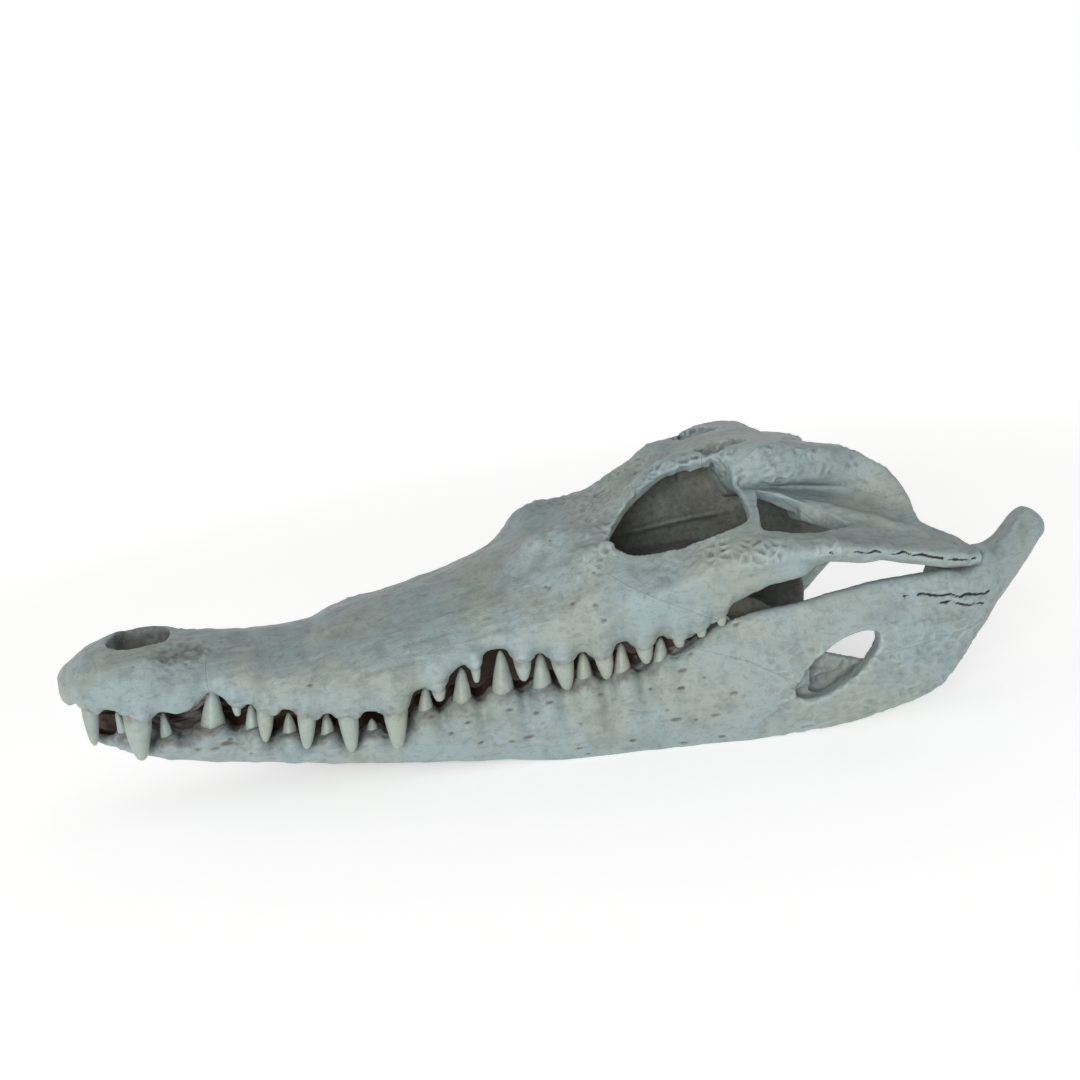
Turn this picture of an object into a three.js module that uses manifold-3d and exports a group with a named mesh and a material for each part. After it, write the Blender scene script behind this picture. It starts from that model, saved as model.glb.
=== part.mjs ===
// Crocodile skull with its lower jaw, closed as in life, at full size in millimetres.
//
// The skull is drawn in its own frame first: x runs back from the tip of the snout, y to the animal's
// right, z up from the level of the tooth rows. Long ridge lines that a hand could follow along the real
// bone (tooth margin, cheek, shoulder, brow, crown) carry the surfaces. Each bone is then parted from its
// neighbours along its sutures. The finished group stands on the lower edges of the jaw, with its origin
// under the middle of the whole skull.

import * as THREE from "three";
import { mergeVertices } from "three/addons/utils/BufferGeometryUtils.js";
import Module from "manifold-3d";

const wasm = await Module();
wasm.setup();

// ---------------------------------------------------------------------------------------------------
// Driving dimensions, in millimetres
// ---------------------------------------------------------------------------------------------------

const TOTAL_LENGTH = 392;        // tip of the snout to the ends of the lower jaw
const JAW_REST_LEVEL = -40.4;    // height of the flat under the jaw, below the tooth rows
const SUTURE = 0.3;              // width of the gap where two bones meet
const ROOF_THICKNESS = 6;        // thickness of the skull roof and cheek over the hollow
const JAW_WALL = 5.5;            // outer wall of the rear jaw, beside its window
const TOOTH_SIDES = 5;
const FAR = 200;                 // reach of a cutting shape past the skull
const TEMPLE_FLOOR = 60;         // height of the floor of the pits in the skull table
const OPENING_TILT = 30;         // degrees that eye and cheek openings lean out from straight up

// Each ridge line lists the points where its course changes: [x, y, z].
const MARGIN = [
  [0, 2.5, 12.5], [1.5, 6, 10], [4, 10, 9], [8, 14, 10.8], [14, 19, 10.2], [26, 25, 7.5], [37, 28, 3.8],
  [51, 27, 2.3], [56, 25.5, 5], [60, 24.5, 7], [64, 25.2, 5.4], [69, 26, 1.6], [82, 30, -0.2],
  [97, 35, -4.1], [112, 39, -5.9], [131, 43, -6.8], [148, 43, -2.8], [163, 43.5, 3], [175, 44.5, 3.6],
  [190, 47, 1.2], [212, 51, 1], [228, 55, 3.2], [242, 58, 5.4], [256, 61, 11.5], [266, 63.5, 17.1],
  [277, 67, 21.3], [288, 69.5, 22.6], [297, 71.5, 27], [317, 76, 25.2], [332, 78, 21.6], [347, 79.5, 18],
  [356, 79.5, 17.5],
];
const CHEEK = [
  [0, 3.5, 14.5], [1.5, 8, 14.5], [6, 14.5, 15], [14, 20.5, 16.5], [25, 26, 17], [37, 29, 15],
  [49, 28, 13], [61, 24.5, 14], [75, 27.5, 10], [98, 35, 7], [112, 39.5, 6], [131, 44.5, 6],
  [148, 44.5, 8.5], [165, 45, 12], [187, 49, 15.5], [205, 54, 17.5], [222, 60.5, 20], [240, 66.5, 23.5],
  [256, 70.5, 27.5], [270, 73, 31], [285, 75, 33], [300, 77, 33], [315, 79, 30.5], [330, 80.5, 27],
  [343, 81.5, 24], [356, 81, 21.5],
];
const SHOULDER = [
  [0, 2.5, 17], [1.5, 6.5, 18], [6, 12, 19.8], [14, 17, 23.2], [25, 21.5, 25.2], [37, 23, 25.2],
  [49, 22, 22.2], [61, 19.5, 19.7], [75, 21.5, 16.8], [98, 26, 14.4], [112, 29, 16.8], [131, 32.5, 18.8],
  [148, 33.5, 21.4], [165, 34, 24.2], [187, 37, 30], [200, 41, 33.5], [212, 45, 37.5], [221, 47, 41],
  [232, 50, 38.8], [246, 56, 39.5], [262, 60, 42.8], [277, 63, 42.4], [292, 67, 39], [315, 69, 35.5],
  [330, 71, 31], [343, 74, 28], [356, 78, 23.5],
];
const BROW = [
  [0, 1.5, 18.5], [1.5, 3.5, 20.5], [6, 7, 23.4], [14, 10, 26.9], [25, 12, 29.6], [37, 13, 29.4],
  [49, 12, 26.4], [61, 9, 24.4], [75, 10, 21.6], [98, 13, 19.7], [112, 15, 22.8], [131, 17, 24.8],
  [148, 18, 27.4], [165, 19.5, 30.2], [180, 21, 34.2], [188, 22, 37.1], [192, 23, 40], [197, 24, 45],
  [206, 26.5, 47.6], [216, 31.5, 46.8], [226, 34.5, 48.8], [233, 29, 54.4], [241, 22.5, 59.9],
  [251, 18, 65], [262, 17, 67.6], [271, 22, 68], [278, 30, 67.8], [286, 34.5, 68.8], [296, 36, 68],
  [308, 37, 64.2], [318, 37.5, 62.3], [326, 38, 60.6], [330, 38.8, 58.8], [336, 43, 54.5], [340, 48, 48],
  [342, 53, 41], [344.5, 58, 34.5], [348, 63.5, 31], [356, 73, 26],
];
const CROWN = [
  [0, 0, 19], [1.5, 0, 21.5], [6, 0, 24.6], [14, 0, 28.2], [25, 0, 30], [37, 0, 29.2], [49, 0, 26.8],
  [61, 0, 25.2], [75, 0, 23.2], [98, 0, 22], [112, 0, 25], [131, 0, 27.6], [148, 0, 30.4], [165, 0, 33.4],
  [187, 0, 39.2], [205, 0, 43], [220, 0, 47], [235, 0, 52], [245, 0, 56.5], [256, 0, 62], [268, 0, 66.1],
  [282, 0, 68.1], [297, 0, 67.9], [309, 0, 64], [318, 0, 61.5], [326, 0, 59], [356, 0, 52],
];
// Behind the eye three more lines lie between brow and shoulder: the lower edge of the skull table, the
// floor of the ear groove under it, and the crest where the quadrate meets the cheek opening.
const RIM = [
  [268, 30, 60], [277, 36, 57.5], [281, 37, 56.9], [291, 38.5, 54.6], [303, 39, 53], [315, 39, 50.4],
  [322, 40.5, 50.2], [330, 44, 50], [337, 49, 47.5], [342, 54, 39.5], [350, 65, 30.2],
];
const RECESS = [
  [268, 33, 57], [277, 38, 54], [284, 35, 52.4], [294, 33, 50.6], [305, 32.5, 48.6], [316, 35, 46.6],
  [324, 41, 45], [332, 48, 42.5], [338, 55, 37.5], [343, 60.5, 33], [350, 67, 29],
];
const CREST = [
  [268, 42, 52], [281, 44.5, 53], [290, 47, 49.8], [297, 50.5, 46.4], [306, 57, 41.6], [320, 62, 37.3],
  [335, 67, 31.5], [344, 71, 28.5], [350, 74, 26.5],
];
const JAW_LOWER = [
  [8, 4.5, -6.5], [12, 8.5, -8.8], [16, 10.5, -10.2], [23, 13.5, -12.8], [31, 16, -15.6], [51, 23, -19.6],
  [70, 27, -22.8], [89, 30, -26], [123, 35, -31.8], [166, 43, -37], [204, 51, JAW_REST_LEVEL],
  [240, 60, JAW_REST_LEVEL], [262, 66, JAW_REST_LEVEL], [281, 70, -39.5], [301, 73, -38.4],
  [321, 75, -35], [338, 76, -29.5], [346, 76, -22.8], [353, 75.5, -14.5], [366, 72, -2.4], [377, 68, 6.4],
  [386, 64.5, 14], [392, 62, 19],
];
const JAW_UPPER = [
  [8, 6.5, -2.8], [13, 11, -4.8], [20, 15.5, -6.6], [40, 20.5, -10.5], [57, 22, -9.2], [72, 24, -12.5],
  [87, 27, -17], [102, 30.5, -19], [120, 34, -20.4], [133, 36.5, -17.5], [141, 38, -14.8],
  [155, 39.5, -13.6], [171, 41, -12.2], [189, 43.5, -12.2], [205, 46.5, -11.2], [219, 49.5, -10.6],
  [232, 52, -8.8], [245, 55.5, -2.6], [257, 59, 5], [265, 63, 8.4], [285, 69, 11.7], [305, 74, 14.7],
  [324, 77, 16.6], [343, 79, 16.5], [350, 79, 14.5], [356, 77.5, 15.5], [361, 76, 20.5], [366, 73, 20],
  [373, 70, 22.5], [379, 67.5, 28], [385, 65, 30.9], [392, 62, 26],
];

// Teeth: [x, length, width at the socket, lean of the tip forwards].
const UPPER_TEETH = [
  [14, 16.5, 6.4, 2], [32, 19, 10.2, 2.5], [69.3, 5, 3.8, 0.5], [81, 15, 6.8, 3.5],
  [96.5, 15.5, 7.4, 3.5], [111.6, 17, 8, 1.5], [130, 17, 9.2, 2], [147.5, 5, 5.5, 0.3],
  [163, 6, 3.8, 0.5], [181.5, 8.5, 6.9, 0.7], [196.5, 13, 8.7, -0.4], [212.2, 10.8, 7.4, -0.6],
  [228, 8.4, 7.4, -0.3], [241.3, 5.4, 5.7, -0.3], [250, 5.6, 5.2, -0.2], [257.6, 5.8, 4.8, -0.6],
];
const LOWER_TEETH = [
  [24, 11.5, 4.8, 2], [39.7, 12, 5.6, 0], [57, 20, 10.4, -4], [72.6, 11.5, 6.4, -1.5],
  [86.5, 10.2, 6.8, -1.5], [101.5, 10.2, 6.8, -1], [118.8, 7, 6.7, -1], [140.4, 11.6, 6.9, -2.2],
  [155.3, 15.5, 8.1, -2.5], [171.8, 18.6, 8.7, -2.2], [187.6, 15, 8.2, -1.5], [204.3, 12.4, 7.5, -1.2],
  [219, 13.2, 7.3, -1.5], [234, 11.4, 6.9, -1.7],
];

// ---------------------------------------------------------------------------------------------------
// Geometry helpers
// ---------------------------------------------------------------------------------------------------

/** A smooth line through its points: returns [y, z] at any x, with no overshoot between points. */
function ridge(points) {
  const slopes = points.map((point, i) => {
    const before = points[Math.max(i - 1, 0)];
    const after = points[Math.min(i + 1, points.length - 1)];
    return [1, 2].map((axis) => {
      const left = (point[axis] - before[axis]) / Math.max(point[0] - before[0], 1e-6);
      const right = (after[axis] - point[axis]) / Math.max(after[0] - point[0], 1e-6);
      if (i === 0) return right;
      if (i === points.length - 1) return left;
      return left * right <= 0 ? 0 : (2 * left * right) / (left + right);
    });
  });
  return (x) => {
    let i = points.findIndex((point) => point[0] > x) - 1;
    if (i < 0) i = x <= points[0][0] ? 0 : points.length - 2;
    const [a, b] = [points[i], points[i + 1]];
    const step = b[0] - a[0];
    const t = THREE.MathUtils.clamp((x - a[0]) / step, 0, 1);
    return [1, 2].map((axis, k) => {
      const rise = t * t * (3 - 2 * t);
      const bend = step * (slopes[i][k] * t * (1 - t) ** 2 - slopes[i + 1][k] * t * t * (1 - t));
      return a[axis] + (b[axis] - a[axis]) * rise + bend;
    });
  };
}

/** Skins a stack of closed rings, each the same number of [x, y, z] points, and caps both ends. */
function skin(rings) {
  const sides = rings[0].length;
  const positions = rings.flat(2);
  const index = [];
  for (let r = 0; r + 1 < rings.length; r++) {
    for (let s = 0; s < sides; s++) {
      const a = r * sides + s;
      const b = r * sides + ((s + 1) % sides);
      index.push(a, b, b + sides, a, b + sides, a + sides);
    }
  }
  for (let s = 1; s + 1 < sides; s++) {
    const last = (rings.length - 1) * sides;
    index.push(0, s + 1, s);
    index.push(last, last + s, last + s + 1);
  }
  const geometry = new THREE.BufferGeometry();
  geometry.setAttribute("position", new THREE.Float32BufferAttribute(positions, 3));
  geometry.setIndex(index);
  return geometry;
}

/** Turns a closed three.js geometry into a solid, with its faces turned outward. */
function solid(geometry) {
  const bare = geometry.clone();
  bare.deleteAttribute("normal");
  bare.deleteAttribute("uv");
  const merged = mergeVertices(bare, 1e-4);
  const triVerts = new Uint32Array(merged.index.array);
  const vertProperties = new Float32Array(merged.attributes.position.array);
  const shape = new wasm.Manifold(new wasm.Mesh({ numProp: 3, vertProperties, triVerts }));
  if (shape.volume() > 0) return shape;
  for (let i = 0; i < triVerts.length; i += 3) {
    [triVerts[i], triVerts[i + 1]] = [triVerts[i + 1], triVerts[i]];
  }
  return new wasm.Manifold(new wasm.Mesh({ numProp: 3, vertProperties, triVerts }));
}

/** A closed body skinned along x, from a function that gives its ring of [y, z] points at each x. */
function loftAlong(stations, section) {
  return solid(skin(stations.map((x) => section(x).map(([y, z]) => [x, y, z]))));
}

/** A straight prism of a flat outline, [a, b] points, swept along z, then turned by a matrix. */
function prism(outline, from, to, matrix = new THREE.Matrix4()) {
  const shape = new THREE.Shape(outline.map(([a, b]) => new THREE.Vector2(a, b)));
  const geometry = new THREE.ExtrudeGeometry(shape, { depth: to - from, bevelEnabled: false });
  geometry.translate(0, 0, from);
  geometry.applyMatrix4(matrix);
  return solid(geometry);
}

/** The same outline with every corner moved out by a distance. */
function grown(outline, by) {
  const area = outline.reduce((sum, [x, y], i) => {
    const [nextX, nextY] = outline[(i + 1) % outline.length];
    return sum + x * nextY - nextX * y;
  }, 0);
  const turn = Math.sign(area);
  return outline.map((point, i) => {
    const before = outline[(i + outline.length - 1) % outline.length];
    const after = outline[(i + 1) % outline.length];
    const inEdge = new THREE.Vector2(point[0] - before[0], point[1] - before[1]).normalize();
    const outEdge = new THREE.Vector2(after[0] - point[0], after[1] - point[1]).normalize();
    const normal = new THREE.Vector2(inEdge.y + outEdge.y, -inEdge.x - outEdge.x).normalize();
    const reach = by / Math.max(normal.dot(new THREE.Vector2(inEdge.y, -inEdge.x)), 0.3);
    return [point[0] + turn * reach * normal.x, point[1] + turn * reach * normal.y];
  });
}

/** Rounds an outline: a closed smooth curve through its points. */
function rounded(outline, count) {
  const curve = new THREE.CatmullRomCurve3(outline.map(([a, b]) => new THREE.Vector3(a, b, 0)), true);
  return curve.getSpacedPoints(count).slice(0, -1).map((point) => [point.x, point.y]);
}

// A plan outline is [x, y]; a side outline is [x, z], cut through from y = near to y = far.
const planCut = (outline, low = -FAR) => prism(outline, low, FAR);
const SIDE = new THREE.Matrix4().makeBasis(
  new THREE.Vector3(1, 0, 0), new THREE.Vector3(0, 0, 1), new THREE.Vector3(0, -1, 0));
const sideCut = (outline, near, far) => prism(outline, -far, -near, SIDE);

/** Parts a body along a cutter's edge: what lies inside, and what is left beside the suture gap. */
function parted(body, cutter, widerCutter) {
  return [body.intersect(cutter), body.subtract(widerCutter)];
}
const partPlan = (body, outline, low = -FAR) =>
  parted(body, planCut(outline, low), planCut(grown(outline, SUTURE), low - SUTURE));
const partSide = (body, outline, near, far) =>
  parted(body, sideCut(outline, near, far), sideCut(grown(outline, SUTURE), near, far));

/** A bent bar of oval section: stations are [x, y, z, half width, half height], width lying in y. */
function bar(stations, sides = 6) {
  const path = stations.map(([x, y, z]) => new THREE.Vector3(x, y, z));
  return solid(skin(stations.map(([, , , halfWidth, halfHeight], i) => {
    const along = new THREE.Vector3()
      .subVectors(path[Math.min(i + 1, path.length - 1)], path[Math.max(i - 1, 0)]).normalize();
    const across = new THREE.Vector3(0, 1, 0).addScaledVector(along, -along.y).normalize();
    const up = new THREE.Vector3().crossVectors(along, across);
    return Array.from({ length: sides }, (_, s) => {
      const angle = (2 * Math.PI * (s + 0.5)) / sides;
      return path[i].clone()
        .addScaledVector(across, halfWidth * Math.cos(angle))
        .addScaledVector(up, halfHeight * Math.sin(angle)).toArray();
    });
  })));
}

/** A tooth: a slender cone, from its root inside the bone to the tip. */
function tooth(root, tip, width) {
  const axis = new THREE.Vector3().subVectors(tip, root);
  const geometry = new THREE.ConeGeometry(width / 2, axis.length(), TOOTH_SIDES);
  geometry.translate(0, axis.length() / 2, 0);
  geometry.applyQuaternion(new THREE.Quaternion()
    .setFromUnitVectors(new THREE.Vector3(0, 1, 0), axis.clone().normalize()));
  geometry.translate(root.x, root.y, root.z);
  return solid(geometry);
}

/** The same body on the animal's other side. */
const otherSide = (body) => body.mirror([0, 1, 0]);

// ---------------------------------------------------------------------------------------------------
// Ridge lines as functions of x
// ---------------------------------------------------------------------------------------------------

const margin = ridge(MARGIN);
const cheek = ridge(CHEEK);
const shoulder = ridge(SHOULDER);
const brow = ridge(BROW);
const crown = ridge(CROWN);
const linesBehindEye = [ridge(CREST), ridge(RECESS), ridge(RIM)];
const jawLower = ridge(JAW_LOWER);
const jawUpper = ridge(JAW_UPPER);

/** Both halves of a section from the points of its right half, listed from below to the midline. */
const bothHalves = (right) => [...right, ...right.slice(0, -1).reverse().map(([y, z]) => [-y, z])];

// ---------------------------------------------------------------------------------------------------
// Upper skull: one domed body from snout to jaw joint, hollowed behind the snout
// ---------------------------------------------------------------------------------------------------

const ROOF_STATIONS = [
  0, 4, 13, 26, 38, 50, 60, 71, 98, 131, 148, 168, 189, 197, 210, 222, 234, 247, 263, 273, 284,
  298, 314, 330, 341, 348, 356,
];

/** 1 where the skull table stands free over the ear groove, 0 in front of the eye and at the joint. */
const behindEye = (x) =>
  THREE.MathUtils.smoothstep(x, 271, 280) * (1 - THREE.MathUtils.smoothstep(x, 343, 350));

/** Crest, recess and rim: on the straight line from shoulder to brow, behind the eye on their own lines. */
function upperLines(x) {
  const low = shoulder(x);
  const high = brow(x);
  return linesBehindEye.map((line, k) => {
    const share = [0.3, 0.55, 0.8][k];
    const own = line(x);
    return [0, 1].map((axis) => THREE.MathUtils.lerp(
      THREE.MathUtils.lerp(low[axis], high[axis], share), own[axis], behindEye(x)));
  });
}

/** Section of the domed outer surface, with a flat palate between the tooth rows. */
function roofSection(x) {
  const [edgeY, edgeZ] = margin(x);
  const palateRise = Math.min(6, x / 4);
  const right = [
    [0, edgeZ + palateRise + 1],
    [edgeY * 0.66, edgeZ + palateRise * 0.8],
    [edgeY, edgeZ],
    cheek(x),
    shoulder(x),
    ...upperLines(x),
    brow(x),
    crown(x),
  ];
  const left = right.slice(1, -1).reverse().map(([y, z]) => [-y, z]);
  return [...right, ...left];
}

const HOLLOW_STATIONS = [203, 212, 222, 233, 246, 263, 284, 312, 338, 362];

/** Section of the hollow under the roof: eye sockets in front, jaw muscle chamber behind, open below. */
function hollowSection(x, wall) {
  const open = THREE.MathUtils.smoothstep(x, 200, 224);
  const [edgeY, edgeZ] = margin(x);
  const shelf = THREE.MathUtils.lerp(12, 6, THREE.MathUtils.smoothstep(x, 235, 275));
  const rise = (z) => THREE.MathUtils.lerp(edgeZ + 4, z, open);
  const narrow = (y) => y * THREE.MathUtils.lerp(0.6, 1, open);
  const [cheekY, cheekZ] = cheek(x);
  const [shoulderY, shoulderZ] = shoulder(x);
  const [browY, browZ] = brow(x);
  const filled = behindEye(x);
  const backLid = 49 - 8 * THREE.MathUtils.smoothstep(x, 280, 300)
    - 15 * THREE.MathUtils.smoothstep(x, 306, 334);
  const lid = THREE.MathUtils.lerp(browZ - wall, backLid - wall + ROOF_THICKNESS, filled);
  const top = THREE.MathUtils.lerp(crown(x)[1] - wall, backLid + 1 - wall + ROOF_THICKNESS, filled);
  return bothHalves([
    [narrow(edgeY - shelf), -FAR / 2],
    [narrow(edgeY - shelf), edgeZ + 1],
    [narrow(cheekY - wall - 2), rise(cheekZ)],
    [narrow(shoulderY - wall), rise(Math.min(shoulderZ - wall * 0.7, lid))],
    [narrow(browY + 6 * filled), rise(lid)],
    [0, rise(top)],
  ]);
}

const roofBody = loftAlong(ROOF_STATIONS, roofSection);
const hollow = loftAlong(HOLLOW_STATIONS, (x) => hollowSection(x, ROOF_THICKNESS));
const innerSpace = loftAlong(HOLLOW_STATIONS, (x) => hollowSection(x, ROOF_THICKNESS + SUTURE));

// The eye and cheek openings look up and outward: their outlines are [x, s], with s measured up the
// slope of the opening, and they are cut square to that slope.
const lean = THREE.MathUtils.degToRad(OPENING_TILT);
const SLOPE = new THREE.Matrix4().makeBasis(
  new THREE.Vector3(1, 0, 0),
  new THREE.Vector3(0, -Math.cos(lean), Math.sin(lean)),
  new THREE.Vector3(0, Math.sin(lean), Math.cos(lean)));
const slopeCut = (outline, count) => prism(rounded(outline, count), 30, 120, SLOPE);

const ORBIT = [
  [222, -15], [226, -7], [233.5, 1], [242, 6.9], [252, 11.4], [262, 11.6], [271.5, 9.5], [277.5, 3],
  [278, -6], [276, -16], [270, -24.5], [257, -27.5], [246, -28], [232, -25], [224, -20.5],
];
const CHEEK_OPENING = [
  [278, -34], [278.8, -26], [280.8, -17], [283.5, -11], [288, -12.5], [297, -20.5], [303.5, -28],
  [308.5, -36], [295, -38.5], [285, -37],
];
const TEMPLE_OPENING = [
  [267, 18], [270, 12.5], [277, 11], [285, 13], [289, 18.5], [285, 24], [277, 26], [270, 23.5],
];
const NOSTRIL = [
  [23, 5], [27, 10.5], [34, 11.5], [40, 9], [43, 4], [43, -4], [40, -9], [34, -11.5], [27, -10.5],
  [23, -5],
];

const eyeAndCheekCuts = slopeCut(ORBIT, 16).add(slopeCut(CHEEK_OPENING, 9))
  .add(planCut(rounded(TEMPLE_OPENING, 9), TEMPLE_FLOOR));

// Behind the skull table the roof ends along a line from the midline out to the jaw joint.
const BEHIND_ROOF = [
  [324, -1], [325, 20], [326.5, 34], [331, 40], [336, 43.5], [340, 47], [342, 52], [342.5, 58], [344, 62],
  [348, 67], [353, 74], [357, 80], [370, 80], [370, -1],
];

const roof = roofBody
  .subtract(hollow)
  .subtract(eyeAndCheekCuts).subtract(otherSide(eyeAndCheekCuts))
  .subtract(planCut(rounded(NOSTRIL, 12), 9))
  .subtract(planCut(BEHIND_ROOF)).subtract(otherSide(planCut(BEHIND_ROOF)));

// ---------------------------------------------------------------------------------------------------
// Teeth
// ---------------------------------------------------------------------------------------------------

/** All teeth of one row: each starts inside the jaw edge and points down (-1) or up (+1). */
function toothRow(teeth, edge, direction, inset, flare, room = 0) {
  return teeth.map(([x, length, width, forwards]) => {
    const [y, z] = edge(x);
    const seatY = Math.max(y - inset - width * 0.3, 2.5);
    const root = new THREE.Vector3(x, seatY, z - direction * 3);
    const reach = length - 2 + 3 * room;
    const tip = new THREE.Vector3(x - forwards, seatY + flare * length, z + direction * reach);
    return tooth(root, tip, 1.15 * width + 2 * room);
  }).reduce((row, one) => row.add(one));
}

const upperTeeth = toothRow(UPPER_TEETH, margin, -1, 0.6, 0.08);
const lowerTeeth = toothRow(LOWER_TEETH, jawUpper, 1, 1.2, -0.02);

// Pits in the edge of the upper jaw take the tips of the lower teeth.
const PIT_ROOM = 0.7;
const pits = toothRow(LOWER_TEETH, jawUpper, 1, 1.2, -0.02, PIT_ROOM);

// ---------------------------------------------------------------------------------------------------
// Bones of the upper skull, parted along their sutures
// ---------------------------------------------------------------------------------------------------

const RIGHT_HALF = [[-20, SUTURE / 2], [FAR * 2, SUTURE / 2], [FAR * 2, FAR], [-20, FAR]];

const NASAL_OUTLINE = [
  [52, 0], [58, 5], [70, 8], [120, 10], [165, 10.5], [190, 8], [206, 0],
];
const FRONTAL_OUTLINE = [
  [197, 0], [206.5, 6], [222, 11], [238, 14], [240, 40], [262, 40], [271, 16], [277, 10], [277, 0],
];
const PREMAXILLA_OUTLINE = [
  [-20, -FAR], [60, -FAR], [60, -20], [68, -8], [68, 8], [60, 20], [60, FAR], [-20, FAR],
];
const PREFRONTAL_OUTLINE = [
  [187, 12], [189, 20], [206, 29], [222, 34], [238, 34], [245, 14], [222, 4], [200, 2],
];
const LACRIMAL_OUTLINE = [
  [174, 24], [184, 34], [207, 43], [223, 50], [229, 42], [222, 30], [200, 22], [187, 18],
];
const symmetric = (outline) => [...outline, ...outline.slice(1, -1).reverse().map(([x, y]) => [x, -y])];

// Jugal: above this side line, from the front of the eye socket to the last tooth, back to the cheek.
const JUGAL_OUTLINE = [
  [212, 38], [224, 29], [245, 17], [262, 6], [304, 6], [302, 39], [292, 48], [262, 50], [240, 41],
  [222, 43],
];
// The skull table: postorbital, squamosal and parietal above this side line.
const TABLE_OUTLINE = [
  [260, 51], [290, 50.5], [304, 50.5], [322, 46.5], [333, 42], [345, 44], [345, 90], [260, 90],
];
const PARIETAL_OUTLINE = [
  [268, 0], [272, 17], [285, 17], [296, 18], [305, 22], [331, 25], [331, 0],
];
const POSTORBITAL_OUTLINE = [[255, 10], [292, 10], [294, 60], [255, 60]];
const QUADRATOJUGAL_OUTLINE = [
  [298, 62.5], [312, 64], [335, 70], [351, 76], [351, FAR], [298, FAR],
];

const [nasalBlock, besideNasals] = partPlan(roof, symmetric(NASAL_OUTLINE), 15);
const [premaxillae, behindPremaxillae] = partPlan(besideNasals, PREMAXILLA_OUTLINE);
const [frontalBlock, besideFrontal] = partPlan(behindPremaxillae, symmetric(FRONTAL_OUTLINE), 34);
const [parietalBlock, besideParietal] = partPlan(besideFrontal, symmetric(PARIETAL_OUTLINE));

const rightOf = (body) => body.intersect(planCut(RIGHT_HALF));
const rightSide = rightOf(besideParietal);
const [prefrontal, besidePrefrontal] = partPlan(rightSide, PREFRONTAL_OUTLINE, 27);
const [lacrimal, besideLacrimal] = partPlan(besidePrefrontal, LACRIMAL_OUTLINE, 22);
const [jugal, besideJugal] = partSide(besideLacrimal, JUGAL_OUTLINE, 20, FAR);
const [tableSide, belowTable] = partSide(besideJugal, TABLE_OUTLINE, 1, FAR);
const [postorbital, squamosal] = partPlan(tableSide, POSTORBITAL_OUTLINE);
const [maxilla, rearCheek] = partPlan(belowTable, [[50, -1], [268, -1], [268, FAR], [50, FAR]]);

// The quadrate carries the jaw joint: a flat bar that runs out and back under the table's corner.
const QUADRATE_BAR = [
  [298, 32, 48, 37, 47], [312, 35, 58, 32, 43.5], [327, 41, 65, 26, 37.5], [341, 51, 73, 19, 30.5],
  [351, 57, 80.5, 16.4, 25.5], [356, 58, 80.5, 17.5, 23],
];
const quadrateBody = (room) => solid(skin(QUADRATE_BAR.map(([x, inner, outer, low, high]) => [
  [x + room, inner - room, low + 1.5], [x + room, inner + 3, low - room],
  [x + room, outer + room, low + 1.5 - room],
  [x + room, outer + room, high - 3], [x + room, outer - 4, high + room],
  [x + room, inner - room, high - 2 + room],
])));
const quadrateBar = quadrateBody(0);
const [quadratojugal, quadrateShell] = partPlan(rearCheek, QUADRATOJUGAL_OUTLINE);
const quadrate = quadrateShell.add(quadrateBar
  .subtract(planCut(grown(QUADRATOJUGAL_OUTLINE, SUTURE)))
  .subtract(sideCut(grown(JUGAL_OUTLINE, SUTURE), 20, FAR))
  .subtract(sideCut(grown(TABLE_OUTLINE, SUTURE), 0, FAR)));

// ---------------------------------------------------------------------------------------------------
// Braincase, palate and wings under the roof
// ---------------------------------------------------------------------------------------------------

const BRAINCASE_SIDES = 8;

/** Braincase section: an upright oval, [x, half width, lowest z, highest z]. */
const braincaseCore = solid(skin([
  [262, 5, 36, 70], [276, 9, 24, 70], [292, 13, 13, 70], [306, 15, 7.5, 70], [318, 17, 5, 70],
  [326, 17, 10, 57], [331, 9, 25, 43], [339, 6, 28.5, 39],
].map(([x, halfWidth, low, high]) => Array.from({ length: BRAINCASE_SIDES }, (_, s) => {
  const angle = (2 * Math.PI * s) / BRAINCASE_SIDES;
  return [x, halfWidth * Math.cos(angle) * 1.05, (low + high) / 2 + ((high - low) / 2) * Math.sin(angle)];
}))));

/** The thin wall between the eyes, above the palate: [x, half width, lowest z, highest z]. */
const eyeWall = solid(skin([
  [213, 3, 19, 40], [240, 2.6, 19, 54], [264, 4.5, 19, 60],
].map(([x, halfWidth, low, high]) => Array.from({ length: 6 }, (_, s) => {
  const angle = (2 * Math.PI * s) / 6;
  return [x, halfWidth * Math.cos(angle), (low + high) / 2 + ((high - low) / 2) * Math.sin(angle)];
}))));

/** Wing at the back of the braincase: rings across y of [y, x front, x back, z low, z high]. */
const paroccipitalWing = solid(skin([
  [4, 314, 326, 28, 58], [22, 319, 329, 28, 51], [36, 327, 335.5, 28, 43], [54, 337, 343, 28.5, 35.5],
].map(([y, front, back, low, high]) => [
  [front, y, low], [front, y, high - 2], [front + 3, y, high], [back, y, high - 3], [back - 1, y, low],
])));

const wings = paroccipitalWing
  .subtract(quadrateBody(SUTURE))
  .subtract(quadrateShell.add(quadrateShell.translate([SUTURE, 0, -SUTURE])));
const tableBodies = squamosal.add(parietalBlock).add(postorbital);
const braincase = braincaseCore.add(eyeWall).intersect(innerSpace)
  .add(wings).add(otherSide(wings))
  .subtract(tableBodies).subtract(otherSide(squamosal.add(postorbital)));

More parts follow.
